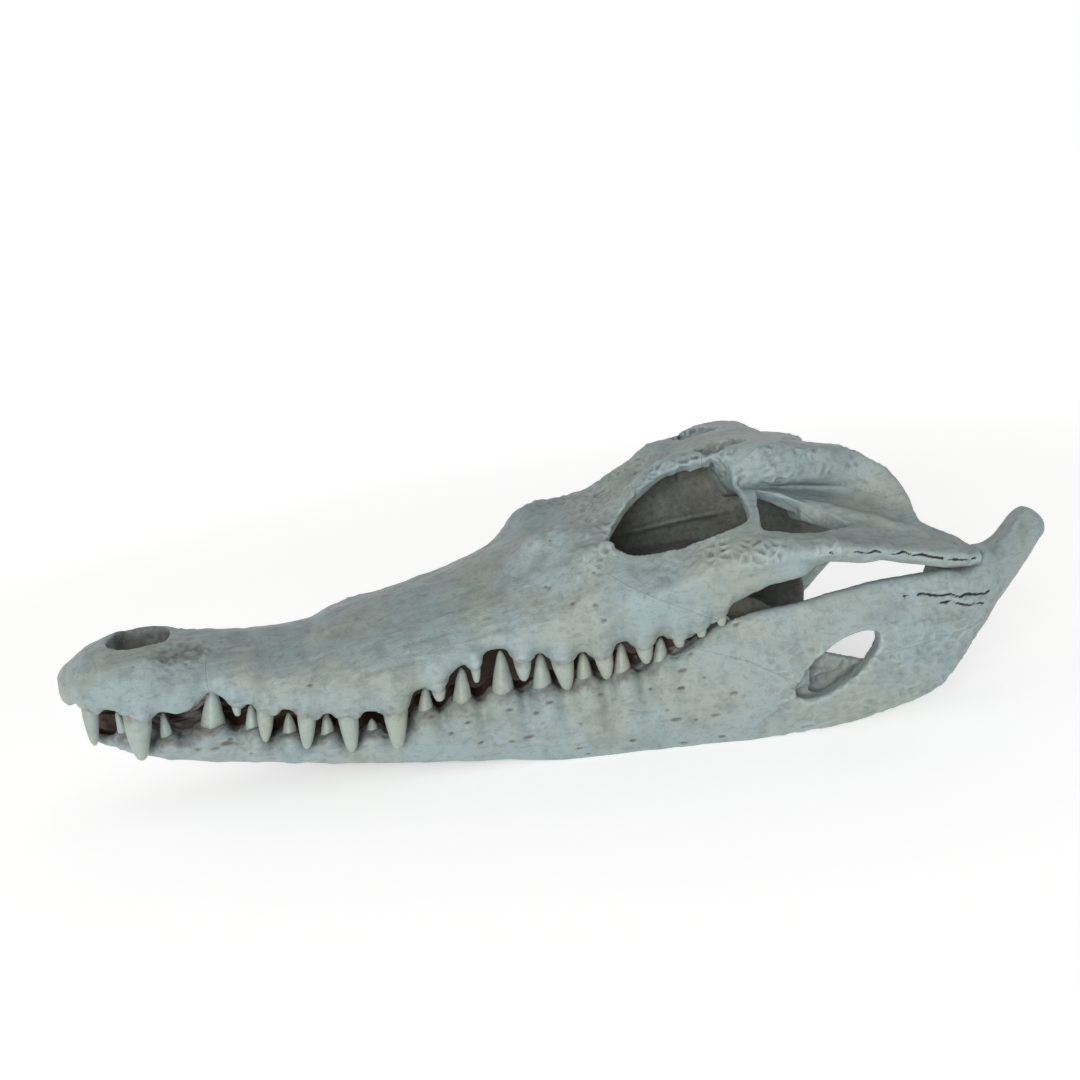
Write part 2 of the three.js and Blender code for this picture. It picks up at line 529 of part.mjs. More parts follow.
// Palate: the palatine bones form a tube along the midline, between the two palate windows.
const palatines = solid(skin([
  [210, 13, 5.5, 17], [222, 10, 5, 17], [240, 9, 5, 17.5], [262, 11, 4, 18], [270, 13, 2, 18],
].map(([x, halfWidth, low, high]) => [
  [x, -halfWidth, low + 2], [x, -halfWidth + 3, low], [x, halfWidth - 3, low], [x, halfWidth, low + 2],
  [x, halfWidth * 0.8, high - 2], [x, halfWidth * 0.4, high], [x, -halfWidth * 0.4, high],
  [x, -halfWidth * 0.8, high - 2],
]))).intersect(innerSpace);

/** Half of the pterygoid plate: rings across y of [y, x front, x back, z middle, thickness]. */
const pterygoidHalf = solid(skin([
  [-1, 270.3, 312, 4, 11], [14, 270.3, 309, 1.5, 9], [26, 271, 304, -3, 6], [37, 272, 300, -9, 6],
  [46, 276, 295, -15.5, 7],
].map(([y, front, back, middle, thick]) => [
  [front, y, middle], [front + 3, y, middle + thick / 2], [back - 4, y, middle + thick / 2],
  [back, y, middle], [back - 4, y, middle - thick / 2], [front + 3, y, middle - thick / 2],
])));
const pterygoid = pterygoidHalf.add(otherSide(pterygoidHalf))
  .subtract(braincase.translate([0, 0, -SUTURE])).subtract(braincase);

const ectopterygoid = bar([
  [288, 44.5, -9, 2.2, 6], [283, 47, -3, 2.3, 6.5], [275, 49.3, 5, 2.5, 6], [266, 52, 11, 2.8, 5],
  [259, 54.5, 14.5, 2.6, 4.5],
]).subtract(jugal.add(maxilla).translate([0, -SUTURE, 0])).subtract(jugal).subtract(maxilla)
  .subtract(pterygoid.translate([0, SUTURE, 0])).subtract(pterygoid.translate([0, 0, SUTURE]))
  .subtract(pterygoid);

// ---------------------------------------------------------------------------------------------------
// Lower jaw
// ---------------------------------------------------------------------------------------------------

const JAW_STATIONS = [
  8, 18, 32, 57, 76, 110, 140, 168, 204, 240, 251, 262, 277, 292,
  307, 323, 336, 344, 351, 357, 362, 368, 378, 392,
];

/** Thickness of a jaw half along its length: thick in front, where the halves join, and at the joint. */
const jawThickness = ridge([
  [9, 4, 0], [23, 12, 0], [40, 18, 0], [120, 18, 0], [200, 14, 0], [250, 13.5, 0], [320, 15, 0], [343, 20, 0],
  [352, 24, 0], [362, 17, 0], [376, 12, 0], [392, 5, 0],
]);

/** Section of one jaw half: upright, rounded, with a narrow flat along its lower edge. */
function jawSection(x) {
  const [lowY, lowZ] = jawLower(x);
  const [topY, topZ] = jawUpper(x);
  const thick = jawThickness(x)[0];
  const halfFlat = Math.min(3, thick / 4);
  const height = topZ - lowZ;
  const outer = (t) => THREE.MathUtils.lerp(lowY, topY, t);
  return [
    [outer(0) - 2 * halfFlat - 1, lowZ],
    [outer(0) - 1, lowZ],
    [outer(0.12) + 1.6, lowZ + height * 0.14],
    [outer(0.45) + 2.2, lowZ + height * 0.45],
    [outer(0.8) + 1, lowZ + height * 0.82],
    [outer(1) - 1, topZ],
    [outer(1) - thick * 0.85, topZ],
    [outer(0.6) - thick, lowZ + height * 0.6],
  ];
}

const jawSolid = loftAlong(JAW_STATIONS, jawSection);

// Where the two halves join in front, a block fills the space back to the end of the joint.
const symphysis = solid(skin([
  [9, 3, -4.5, -3.6], [23, 11, -12.3, -7], [40, 15, -17, -9.8], [56, 16, -18.8, -9], [63, 15, -18, -12],
].map(([x, reach, low, high]) => [[x, -1, low], [x, reach, low], [x, reach, high], [x, -1, high]])));

// Rear jaw: the chamber for the jaw muscles is open above and inside, and has a window in its outer wall.
const JAW_WINDOW = [
  [281, -22.5], [285.5, -15], [291, -9.5], [301, -3.3], [309, -1.1], [314.5, -2.5], [314, -8], [309, -14.5],
  [301, -20.5], [290, -25.3], [283.5, -25],
];
const muscleChamber = solid(skin([
  [262, -2, 9, 5.5], [277, -20, 9, -2.5], [292, -27, 10, -6.5], [318, -25, 10, -12.5], [334, -17, 10, -7],
  [341, 2, 9, 8],
].flatMap(([x, floor, width, innerTop]) => {
  const outerFace = THREE.MathUtils.lerp(jawLower(x)[0], jawUpper(x)[0], 0.6) + 1.6 - JAW_WALL;
  const topFace = jawUpper(x)[0] - JAW_WALL;
  return [[
    [x, outerFace - 1, floor], [x, outerFace, floor + 2], [x, topFace, 40], [x, topFace - 60, 40],
    [x, topFace - 60, innerTop], [x, outerFace - width + 1.5, innerTop], [x, outerFace - width + 1.5, floor],
  ]];
})));

const ramus = jawSolid
  .subtract(muscleChamber)
  .subtract(sideCut(rounded(JAW_WINDOW, 14), 50, 100))
  .add(symphysis)
  .intersect(planCut(RIGHT_HALF));

const DENTARY_OUTLINE = [
  [-20, -60], [248, -60], [266, -33], [280.5, -23.5], [283, -19], [266, -8], [240, 1], [226, 30],
  [-20, 30],
];
const ANGULAR_OUTLINE = [
  [240, -60], [420, -60], [420, 8], [372, 3], [352, -7], [311, -12], [300, -20], [284, -23], [262, -32],
];
const ARTICULAR_OUTLINE = [
  [340, 40], [340, 69], [352, 72.5], [366, 69], [380, 66], [420, 66], [420, 40],
];

const [dentary, behindDentary] = partSide(ramus, DENTARY_OUTLINE, -1, FAR);
const [articular, besideArticular] = partPlan(behindDentary, ARTICULAR_OUTLINE);
const [angular, surangular] = partSide(besideArticular, ANGULAR_OUTLINE, -1, FAR);

// ---------------------------------------------------------------------------------------------------
// Bones as named meshes
// ---------------------------------------------------------------------------------------------------

const BONE = { color: 0xc9cfc6, roughness: 0.62, metalness: 0 };
const DARK_BONE = { color: 0xa9a695, roughness: 0.7, metalness: 0 };

/** Largest connected piece of a body, free of slivers left by the cuts. */
function mainPiece(body) {
  return body.decompose().reduce((best, piece) => (piece.volume() > best.volume() ? piece : best));
}

function boneMesh(name, body, look = BONE) {
  const { vertProperties, triVerts, numProp } = mainPiece(body).getMesh();
  const positions = new Float32Array((vertProperties.length / numProp) * 3);
  for (let i = 0; i < positions.length / 3; i++) {
    positions.set(vertProperties.subarray(i * numProp, i * numProp + 3), i * 3);
  }
  const geometry = new THREE.BufferGeometry();
  geometry.setAttribute("position", new THREE.BufferAttribute(positions, 3));
  geometry.setIndex(new THREE.BufferAttribute(new Uint32Array(triVerts), 1));
  geometry.computeVertexNormals();
  const mesh = new THREE.Mesh(geometry, new THREE.MeshStandardMaterial(look));
  mesh.name = name;
  return mesh;
}

const skull = new THREE.Group();
skull.position.set(-TOTAL_LENGTH / 2, 0, -JAW_REST_LEVEL);

const frontTeeth = upperTeeth.intersect(planCut([[-20, 0], [55, 0], [55, 60], [-20, 60]]));
const sideTeeth = upperTeeth.intersect(planCut([[65, 0], [270, 0], [270, 90], [65, 90]])).subtract(jugal);
const premaxillaRight = rightOf(premaxillae).add(frontTeeth).subtract(pits);
const maxillaRight = maxilla.add(sideTeeth).subtract(pits);
const dentaryRight = dentary.add(lowerTeeth);

const SINGLE_BONES = {
  nasals: nasalBlock, frontal: frontalBlock, parietal: parietalBlock, braincase, palatines, pterygoid,
};
const PAIRED_BONES = {
  premaxilla: premaxillaRight, maxilla: maxillaRight, prefrontal, lacrimal, jugal, postorbital, squamosal,
  quadratojugal, quadrate, ectopterygoid, dentary: dentaryRight, surangular, angular, articular,
};
const DARK = ["palatines", "pterygoid", "ectopterygoid", "braincase"];

for (const [name, body] of Object.entries(SINGLE_BONES)) {
  skull.add(boneMesh(name, body, DARK.includes(name) ? DARK_BONE : BONE));
}
for (const [name, body] of Object.entries(PAIRED_BONES)) {
  const look = DARK.includes(name) ? DARK_BONE : BONE;
  skull.add(boneMesh(`${name}_right`, body, look));
  skull.add(boneMesh(`${name}_left`, otherSide(body), look));
}

export default skull;
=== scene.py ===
# %% [markdown]
# # A crocodile skull in bone
#
# A dried skull is one continuous, slightly waxy surface that happens to be made of many bones. This lesson
# builds it the way a sculptor would: whole first, from a few long ridge lines, then hollowed, then textured,
# and only at the end parted into its bones along the sutures. Each bone takes the place of the plain solid
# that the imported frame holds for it.

# %% The frame
import math
import time

import bmesh
import bpy
import numpy as np
from mathutils import Matrix, Vector


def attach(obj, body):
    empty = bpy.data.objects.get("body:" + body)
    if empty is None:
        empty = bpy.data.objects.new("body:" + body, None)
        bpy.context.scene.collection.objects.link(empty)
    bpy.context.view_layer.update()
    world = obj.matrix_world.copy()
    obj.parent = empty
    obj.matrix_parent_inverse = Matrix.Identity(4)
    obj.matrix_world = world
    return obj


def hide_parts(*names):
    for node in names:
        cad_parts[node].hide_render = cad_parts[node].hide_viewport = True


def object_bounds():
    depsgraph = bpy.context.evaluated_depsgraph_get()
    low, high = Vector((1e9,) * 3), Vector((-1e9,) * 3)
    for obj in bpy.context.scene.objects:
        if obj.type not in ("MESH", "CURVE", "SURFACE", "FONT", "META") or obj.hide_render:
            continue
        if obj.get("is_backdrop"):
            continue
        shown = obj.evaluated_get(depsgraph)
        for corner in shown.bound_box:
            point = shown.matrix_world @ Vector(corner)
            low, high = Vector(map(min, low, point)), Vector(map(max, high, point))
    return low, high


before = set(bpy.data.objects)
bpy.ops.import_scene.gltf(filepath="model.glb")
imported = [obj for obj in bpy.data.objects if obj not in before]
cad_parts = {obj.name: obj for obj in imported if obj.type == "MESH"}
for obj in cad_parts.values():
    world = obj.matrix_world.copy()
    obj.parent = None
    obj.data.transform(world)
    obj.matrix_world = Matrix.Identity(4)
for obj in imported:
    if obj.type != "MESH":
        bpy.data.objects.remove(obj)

STARTED = time.time()
cad_low, cad_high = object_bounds()
CAD_BOX = [list(cad_low), list(cad_high)]
print("CAD box in metres:", CAD_BOX)

# %% [markdown]
# ## The skull's own frame
#
# Skulls are measured from the tip of the snout, so shapes are worked out in millimetres with x running back
# from that tip, y to the animal's right and z up from the tooth rows. One shift carries them into the frame.

# %% Units and the skull's frame
MM = 0.001
JAW_REST_LEVEL = -40.4      # height of the jaw's lowest edge, which stands on the floor
FRAME_FROM_SKULL = np.array([cad_low[0] / MM, 0.0, -JAW_REST_LEVEL])
VOXEL = 0.7          # size of the remeshed quads, in millimetres


def to_frame(points):
    """Skull millimetres to frame metres: add the shift, then scale."""
    return (np.asarray(points, float) + FRAME_FROM_SKULL) * MM


# %% [markdown]
# ## The camera
#
# The camera comes first, so that every later choice can be judged through it. It looks at the skull from
# its left, a little from the front and above, and is rolled so that the jaw slopes up to the right.

# %% Camera
CAMERA_AZIMUTH = -8.14
CAMERA_ELEVATION = 14.0
CAMERA_ROLL = -8.53
CAMERA_DISTANCE = 543.9
CAMERA_TARGET = (201.5, 0.0, 38.16)
PICTURE_SIZE = 1080
FOCAL_PIXELS = 1300.0
SENSOR_WIDTH = 36.0


def make_camera():
    """Back = (sin a cos e, -cos a cos e, sin e); the roll turns right and up about it."""
    a, e, r = (math.radians(v) for v in (CAMERA_AZIMUTH, CAMERA_ELEVATION, CAMERA_ROLL))
    back = Vector((math.sin(a) * math.cos(e), -math.cos(a) * math.cos(e), math.sin(e)))
    level_right = Vector((0, 0, 1)).cross(back).normalized()
    level_up = back.cross(level_right)
    right = math.cos(r) * level_right + math.sin(r) * level_up
    up = math.cos(r) * level_up - math.sin(r) * level_right
    camera = bpy.data.objects.new("camera", bpy.data.cameras.new("camera"))
    camera.data.sensor_width = SENSOR_WIDTH
    camera.data.lens = SENSOR_WIDTH * FOCAL_PIXELS / PICTURE_SIZE
    camera.data.clip_start, camera.data.clip_end = 0.02, 20.0
    turn = Matrix((right, up, back)).transposed()
    place = Vector(to_frame(CAMERA_TARGET)) + back * CAMERA_DISTANCE * MM
    camera.matrix_world = Matrix.Translation(place) @ turn.to_4x4()
    bpy.context.scene.collection.objects.link(camera)
    bpy.context.scene.camera = camera
    return camera


camera = make_camera()
print("camera at", [round(v, 3) for v in camera.location], "lens", round(camera.data.lens, 2))

# %% [markdown]
# ## Ridge lines
#
# Run a finger along a crocodile's skull and it follows a handful of lines: the tooth margin, the cheek, the
# shoulder of the snout, the brow and the crown, and on the jaw its lower and upper edges. Each is a short
# list of the places where its course changes, [x, y, z], joined by a curve that never overshoots them. They
# are the same lines that the solids are built on, so the skin lies on those solids.

# %% Ridge lines of the upper skull
MARGIN = [
    [0, 2.5, 12.5], [1.5, 6, 10], [4, 10, 9], [8, 14, 10.8], [14, 19, 10.2], [26, 25, 7.5], [37, 28, 3.8],
    [51, 27, 2.3], [56, 25.5, 5], [60, 24.5, 7], [64, 25.2, 5.4], [69, 26, 1.6], [82, 30, -0.2],
    [97, 35, -4.1], [112, 39, -5.9], [131, 43, -6.8], [148, 43, -2.8], [163, 43.5, 3], [175, 44.5, 3.6],
    [190, 47, 1.2], [212, 51, 1], [228, 55, 3.2], [242, 58, 5.4], [256, 61, 11.5], [266, 63.5, 17.1],
    [277, 67, 21.3], [288, 69.5, 22.6], [297, 71.5, 27], [317, 76, 25.2], [332, 78, 21.6], [347, 79.5, 18],
    [356, 79.5, 17.5],
]
CHEEK = [
    [0, 3.5, 14.5], [1.5, 8, 14.5], [6, 14.5, 15], [14, 20.5, 16.5], [25, 26, 17], [37, 29, 15],
    [49, 28, 13], [61, 24.5, 14], [75, 27.5, 10], [98, 35, 7], [112, 39.5, 6], [131, 44.5, 6],
    [148, 44.5, 8.5], [165, 45, 12], [187, 49, 15.5], [205, 54, 17.5], [222, 60.5, 20], [240, 66.5, 23.5],
    [256, 70.5, 27.5], [270, 73, 31], [285, 75, 33], [300, 77, 33], [315, 79, 30.5], [330, 80.5, 27],
    [343, 81.5, 24], [356, 81, 21.5],
]
SHOULDER = [
    [0, 2.5, 17], [1.5, 6.5, 18], [6, 12, 19.8], [14, 17, 23.2], [25, 21.5, 25.2], [37, 23, 25.2],
    [49, 22, 22.2], [61, 19.5, 19.7], [75, 21.5, 16.8], [98, 26, 14.4], [112, 29, 16.8], [131, 32.5, 18.8],
    [148, 33.5, 21.4], [165, 34, 24.2], [187, 37, 30], [200, 41, 33.5], [212, 45, 37.5], [221, 47, 41],
    [232, 50, 38.8], [246, 56, 39.5], [262, 60, 42.8], [277, 63, 42.4], [292, 67, 39], [315, 69, 35.5],
    [330, 71, 31], [343, 74, 28], [356, 78, 23.5],
]
BROW = [
    [0, 1.5, 18.5], [1.5, 3.5, 20.5], [6, 7, 23.4], [14, 10, 26.9], [25, 12, 29.6], [37, 13, 29.4],
    [49, 12, 26.4], [61, 9, 24.4], [75, 10, 21.6], [98, 13, 19.7], [112, 15, 22.8], [131, 17, 24.8],
    [148, 18, 27.4], [165, 19.5, 30.2], [180, 21, 34.2], [188, 22, 37.1], [192, 23, 40], [197, 24, 45],
    [206, 26.5, 47.6], [216, 31.5, 46.8], [226, 34.5, 48.8], [233, 29, 54.4], [241, 22.5, 59.9],
    [251, 18, 65], [262, 17, 67.6], [271, 22, 68], [278, 30, 67.8], [286, 34.5, 68.8], [296, 36, 68],
    [308, 37, 64.2], [318, 37.5, 62.3], [326, 38, 60.6], [330, 38.8, 58.8], [336, 43, 54.5], [340, 48, 48],
    [342, 53, 41], [344.5, 58, 34.5], [348, 63.5, 31], [356, 73, 26],
]
CROWN = [
    [0, 0, 19], [1.5, 0, 21.5], [6, 0, 24.6], [14, 0, 28.2], [25, 0, 30], [37, 0, 29.2], [49, 0, 26.8],
    [61, 0, 25.2], [75, 0, 23.2], [98, 0, 22], [112, 0, 25], [131, 0, 27.6], [148, 0, 30.4],
    [165, 0, 33.4], [187, 0, 39.2], [205, 0, 43], [220, 0, 47], [235, 0, 52], [245, 0, 56.5], [256, 0, 62],
    [268, 0, 66.1], [282, 0, 68.1], [297, 0, 67.9], [309, 0, 64], [318, 0, 61.5], [326, 0, 59],
    [356, 0, 52],
]

# Behind the eye three more lines lie between brow and shoulder: the lower edge of the skull table, the floor
# of the ear groove under it, and the crest where the quadrate meets the cheek opening.
RIM = [
    [268, 30, 60], [277, 36, 57.5], [281, 37, 56.9], [291, 38.5, 54.6], [303, 39, 53], [315, 39, 50.4],
    [322, 40.5, 50.2], [330, 44, 50], [337, 49, 47.5], [342, 54, 39.5], [350, 65, 30.2],
]
RECESS = [
    [268, 33, 57], [277, 38, 54], [284, 35, 52.4], [294, 33, 50.6], [305, 32.5, 48.6], [316, 35, 46.6],
    [324, 41, 45], [332, 48, 42.5], [338, 55, 37.5], [343, 60.5, 33], [350, 67, 29],
]
CREST = [
    [268, 42, 52], [281, 44.5, 53], [290, 47, 49.8], [297, 50.5, 46.4], [306, 57, 41.6], [320, 62, 37.3],
    [335, 67, 31.5], [344, 71, 28.5], [350, 74, 26.5],
]

# %% Ridge lines of the lower jaw
JAW_LOWER = [
    [8, 4.5, -6.5], [12, 8.5, -8.8], [16, 10.5, -10.2], [23, 13.5, -12.8], [31, 16, -15.6],
    [51, 23, -19.6], [70, 27, -22.8], [89, 30, -26], [123, 35, -31.8],
    [166, 43, -37], [204, 51, JAW_REST_LEVEL], [240, 60, JAW_REST_LEVEL],
    [262, 66, JAW_REST_LEVEL], [281, 70, -39.5], [301, 73, -38.4], [321, 75, -35], [338, 76, -29.5],
    [346, 76, -22.8], [353, 75.5, -14.5], [366, 72, -2.4], [377, 68, 6.4], [386, 64.5, 14], [392, 62, 19],
]
JAW_UPPER = [
    [8, 7.5, -1.2], [13, 11.5, -3.6], [20, 15.5, -6.2], [40, 20.5, -10.5], [57, 22, -9.2], [72, 24, -12.5],
    [87, 27, -17], [102, 30.5, -19], [120, 34, -20.4], [133, 36.5, -17.5], [141, 38, -14.8],
    [155, 39.5, -13.6],
    [171, 41, -12.2], [189, 43.5, -12.2], [205, 46.5, -11.2], [219, 49.5, -10.6], [232, 52, -8.8],
    [245, 55.5, -2.6], [257, 59, 5], [265, 63, 8.4], [285, 69, 11.7], [305, 74, 14.7], [324, 77, 16.6],
    [343, 79, 16.5], [350, 79, 14.5], [356, 77.5, 15.5], [361, 76, 20.5], [366, 73, 20], [373, 70, 22.5],
    [379, 67.5, 28], [385, 65, 30.9], [392, 62, 26],
]


def ridge(points):
    """A smooth line [y, z] of x: between two points, a cubic whose slopes are the harmonic means of the
    chords on each side, so it never overshoots a point."""
    table = np.array(points, float)
    x, value = table[:, 0], table[:, 1:]
    step = np.diff(x)[:, None]
    chord = np.diff(value, axis=0) / step
    before, after = chord[:-1], chord[1:]
    same_way = before * after > 0
    inner = np.where(same_way, 2 * before * after / np.where(same_way, before + after, 1), 0)
    slope = np.vstack([chord[:1], inner, chord[-1:]])

    def at(where):
        """The line's [y, z] at each x asked for."""
        where = np.atleast_1d(np.asarray(where, float))
        i = np.clip(np.searchsorted(x, where, side="right") - 1, 0, len(x) - 2)
        t = np.clip((where - x[i]) / step[i, 0], 0, 1)[:, None]
        bend = step[i] * (slope[i] * t * (1 - t) ** 2 - slope[i + 1] * t * t * (1 - t))
        return value[i] + (value[i + 1] - value[i]) * t * t * (3 - 2 * t) + bend

    return at


margin, cheek, shoulder, brow, crown = (ridge(line) for line in (MARGIN, CHEEK, SHOULDER, BROW, CROWN))
rim_line, recess_line, crest_line = ridge(RIM), ridge(RECESS), ridge(CREST)
jaw_lower, jaw_upper = ridge(JAW_LOWER), ridge(JAW_UPPER)
print("length of the skull roof", MARGIN[-1][0], "mm, of the jaw", JAW_LOWER[-1][0], "mm")

# %% [markdown]
# ## Where the teeth stand
#
# Crocodile teeth are simple cones, set one to a socket. The jaw edge follows them: it hangs down as a
# little pedestal round each upper tooth and rises in an arch over each lower one, which stands inside it.

# %% Tooth tables and the edges they shape
# Each row is [x, length, width at the socket, lean of the tip forwards].
UPPER_TEETH = np.array([
    [14, 16.5, 6, 2], [32, 19, 9.6, 2.5], [69.3, 5, 3.6, 0.5], [81, 15, 6.4, 3.5], [96.5, 15.5, 7, 3.5],
    [111.6, 17, 7.5, 1.5], [130, 17, 8.7, 2], [147.5, 5, 5.2, 0.3], [163, 6, 3.6, 0.5],
    [181.5, 8.5, 6.5, 0.7],
    [196.5, 13, 8.2, -0.4], [212.2, 10.8, 7, -0.6], [228, 8.4, 7, -0.3], [241.3, 5.4, 5.4, -0.3],
    [250, 5.6, 4.9, -0.2], [257.6, 5.8, 4.5, -0.6],
])
LOWER_TEETH = np.array([
    [24, 11.5, 4.6, 2], [39.7, 12, 5.4, 0], [57, 20, 10, -4], [72.6, 11.5, 6.2, -1.5],
    [86.5, 10.2, 6.5, -1.5],
    [101.5, 10.2, 6.5, -1], [118.8, 7, 6.4, -1], [140.4, 11.6, 6.6, -2.2], [155.3, 15.5, 7.8, -2.5],
    [171.8, 18.6, 8.4, -2.2], [187.6, 15, 7.9, -1.5], [204.3, 12.4, 7.2, -1.2], [219, 13.2, 7, -1.5],
    [234, 11.4, 6.6, -1.7],
])
UPPER_INSET, LOWER_INSET = 0.6, 1.2
UPPER_FLARE, LOWER_FLARE = 0.08, -0.02      # how far a tip stands outward, as a share of the tooth's length
ROOT_INSET = 0.3                            # of the tooth's width
NEAREST_MIDLINE = 2.5


def seats(teeth, edge, inset):
    """Where each tooth stands: y = edge y - inset - ROOT_INSET width, z = the edge's own z."""
    at = edge(teeth[:, 0])
    y = np.maximum(at[:, 0] - inset - ROOT_INSET * teeth[:, 2], NEAREST_MIDLINE)
    return np.stack([teeth[:, 0], y, at[:, 1]], axis=1)


upper_seats = seats(UPPER_TEETH, margin, UPPER_INSET)
lower_seats = seats(LOWER_TEETH, jaw_upper, LOWER_INSET)


def bumps(x, centres, widths, heights):
    """A row of round bumps: the sum of height exp(-((x - centre) / width)^4)."""
    far = ((x[:, None] - centres) / widths) ** 4
    return (heights * np.exp(-far)).sum(axis=1)


PEDESTAL_DROP, PEDESTAL_SWELL = 3.3, 0.9
COLLAR_RISE, COLLAR_SWELL = 3.2, 0.8
WORN_DROP, WORN_SWELL = 1.0, -0.9           # the jaw's edge where an upper tooth lies against it
ARCH_SWELL = -0.12
ARCH_CLEARANCE = 1.3
HIGHEST_ARCH = 6.5
SIGHT_SLOPE = 0.22          # an arch opens this much higher for each millimetre the tooth stands inside
NOTCH_TOOTH, NOTCH_RISE = 2, 1.5            # the big lower tooth lies in a notch that is already open
FULL_LENGTH = 9                             # shorter teeth have lower pedestals
LAST_MEETING = 13                           # the upper teeth behind this one don't reach the jaw's edge
# How far a bump reaches each way from its tooth: this share of the tooth's width, plus this much.
PEDESTAL_REACH, ARCH_REACH, COLLAR_REACH, WORN_REACH = (0.5, 1.1), (0.62, 1.9), (0.6, 1), (0.5, 1)

edge_at_lower = margin(LOWER_TEETH[:, 0])
lower_tips = lower_seats[:, 2] + LOWER_TEETH[:, 1]
arch_rise = lower_tips + SIGHT_SLOPE * (edge_at_lower[:, 0] - lower_seats[:, 1]) + ARCH_CLEARANCE
arch_rise = np.clip(arch_rise - edge_at_lower[:, 1], 0, HIGHEST_ARCH)
arch_rise[NOTCH_TOOTH] = NOTCH_RISE
print("arches rise by", np.round(arch_rise, 1), "mm")


def bumps_at(x, teeth, reach, heights):
    """A round bump at each tooth, as wide as a share of the tooth and a little more."""
    share, extra = reach
    return bumps(x, teeth[:, 0], share * teeth[:, 2] + extra, heights)


def festooned_margin(x):
    """The margin line with its pedestals and arches: z - drop at upper teeth + rise at lower teeth."""
    edge = margin(x).copy()
    at_upper = bumps_at(x, UPPER_TEETH, PEDESTAL_REACH, np.minimum(1, UPPER_TEETH[:, 1] / FULL_LENGTH))
    at_lower = bumps_at(x, LOWER_TEETH, ARCH_REACH, arch_rise)
    edge[:, 0] += PEDESTAL_SWELL * at_upper + ARCH_SWELL * at_lower
    edge[:, 1] += at_lower - PEDESTAL_DROP * at_upper
    return edge


def festooned_jaw(x):
    """The jaw's upper line, raised to a collar round each lower tooth and worn down between them."""
    edge = jaw_upper(x).copy()
    at_lower = bumps_at(x, LOWER_TEETH, COLLAR_REACH, 1)
    at_upper = bumps_at(x, UPPER_TEETH[:LAST_MEETING], WORN_REACH, 1)
    edge[:, 0] += COLLAR_SWELL * at_lower + WORN_SWELL * at_upper
    edge[:, 1] += COLLAR_RISE * at_lower - WORN_DROP * at_upper
    return edge


# %% [markdown]
# ## From lines to a skin
#
# At every step along x the ridge lines give a ring of corners. A centripetal Catmull-Rom curve rounds that
# ring: it passes through each corner and, because its steps are paced by the square root of the distance,
# it makes no loops where two corners are close. Rings joined side by side are a closed skin.

# %% Smooth rings and skins
def smooth_ring(corners, per_side=6):
    """Rounds closed rings of corners, shape (..., corners, 2 or 3). Each side is the Barry-Goldman blend of
    three straight lines through four neighbouring corners, with knots at the sums of sqrt(distance)."""
    p = [np.roll(corners, 1 - k, axis=-2) for k in range(4)]
    gap = [np.maximum(np.linalg.norm(p[k + 1] - p[k], axis=-1), 1e-6) ** 0.5 for k in range(3)]
    knots = [np.zeros_like(gap[0]), gap[0], gap[0] + gap[1], gap[0] + gap[1] + gap[2]]
    t = knots[1][..., None] + gap[1][..., None] * (np.arange(per_side) / per_side)
    p = [q[..., None, :] for q in p]
    k = [q[..., None] for q in knots]

    def blend(a, b, start, end):
        """The straight line through a at start and b at end."""
        share = ((t - start) / (end - start))[..., None]
        return a * (1 - share) + b * share

    low = [blend(p[i], p[i + 1], k[i], k[i + 1]) for i in range(3)]
    mid = [blend(low[i], low[i + 1], k[i], k[i + 2]) for i in range(2)]
    whole = blend(mid[0], mid[1], k[1], k[2])
    return whole.reshape(*corners.shape[:-2], -1, corners.shape[-1])


def skin(rings):
    """A closed mesh from rings[i, j]: quads between neighbouring rings, and one face over each end."""
    count, around, _ = rings.shape
    i, j = np.meshgrid(np.arange(count - 1), np.arange(around), indexing="ij")
    a = (i * around + j).ravel()
    b = (i * around + (j + 1) % around).ravel()
    sides = np.stack([a, b, b + around, a + around], axis=1).tolist()
    ends = [list(range(around))[::-1], list(range((count - 1) * around, count * around))]
    mesh = bpy.data.meshes.new("shape")
    mesh.from_pydata(rings.reshape(-1, 3).tolist(), [], sides + ends)
    turned = bmesh.new()
    turned.from_mesh(mesh)
    bmesh.ops.recalc_face_normals(turned, faces=turned.faces)
    turned.to_mesh(mesh)
    turned.free()
    return mesh


def with_x(x, rings):
    """Puts x in front of rings of [y, z]: shape (rings, corners, 3)."""
    return np.concatenate([np.broadcast_to(x[:, None, None], (*rings.shape[:2], 1)), rings], axis=2)


def loft(start, end, section, step, rounded=True):
    """A skin whose ring at each x is the section there, rounded or with its corners kept."""
    x = np.linspace(start, end, int(math.ceil((end - start) / step)) + 1)
    rings = section(x)
    return skin(with_x(x, smooth_ring(rings) if rounded else rings))


def block(line, low, high, axes):
    """A flat closed line of [a, b] points carried straight from low to high: points a A + b B + h H."""
    a, b, h = (np.array(axis, float) for axis in axes)
    face = line[:, :1] * a + line[:, 1:] * b
    return skin(np.stack([face + low * h, face + high * h]))


def prism(outline, low, high, axes):
    """A block whose outline is rounded first."""
    return block(smooth_ring(np.array(outline, float), 8), low, high, axes)


def corners_of(pairs):
    """Joins [first, second] columns, one pair to a corner, into rings: shape (rings, corners, 2)."""
    return np.stack([np.stack(pair, axis=1) for pair in pairs], axis=1)


def smoothstep(value, low, high):
    """0 below low, 1 above high, and 3t^2 - 2t^3 between."""
    t = np.clip((value - low) / (high - low), 0, 1)
    return t * t * (3 - 2 * t)


def window(value, low, high, soft=4.0):
    """1 between low and high, falling to 0 over soft on each side."""
    return smoothstep(value, low - soft, low) * (1 - smoothstep(value, high, high + soft))


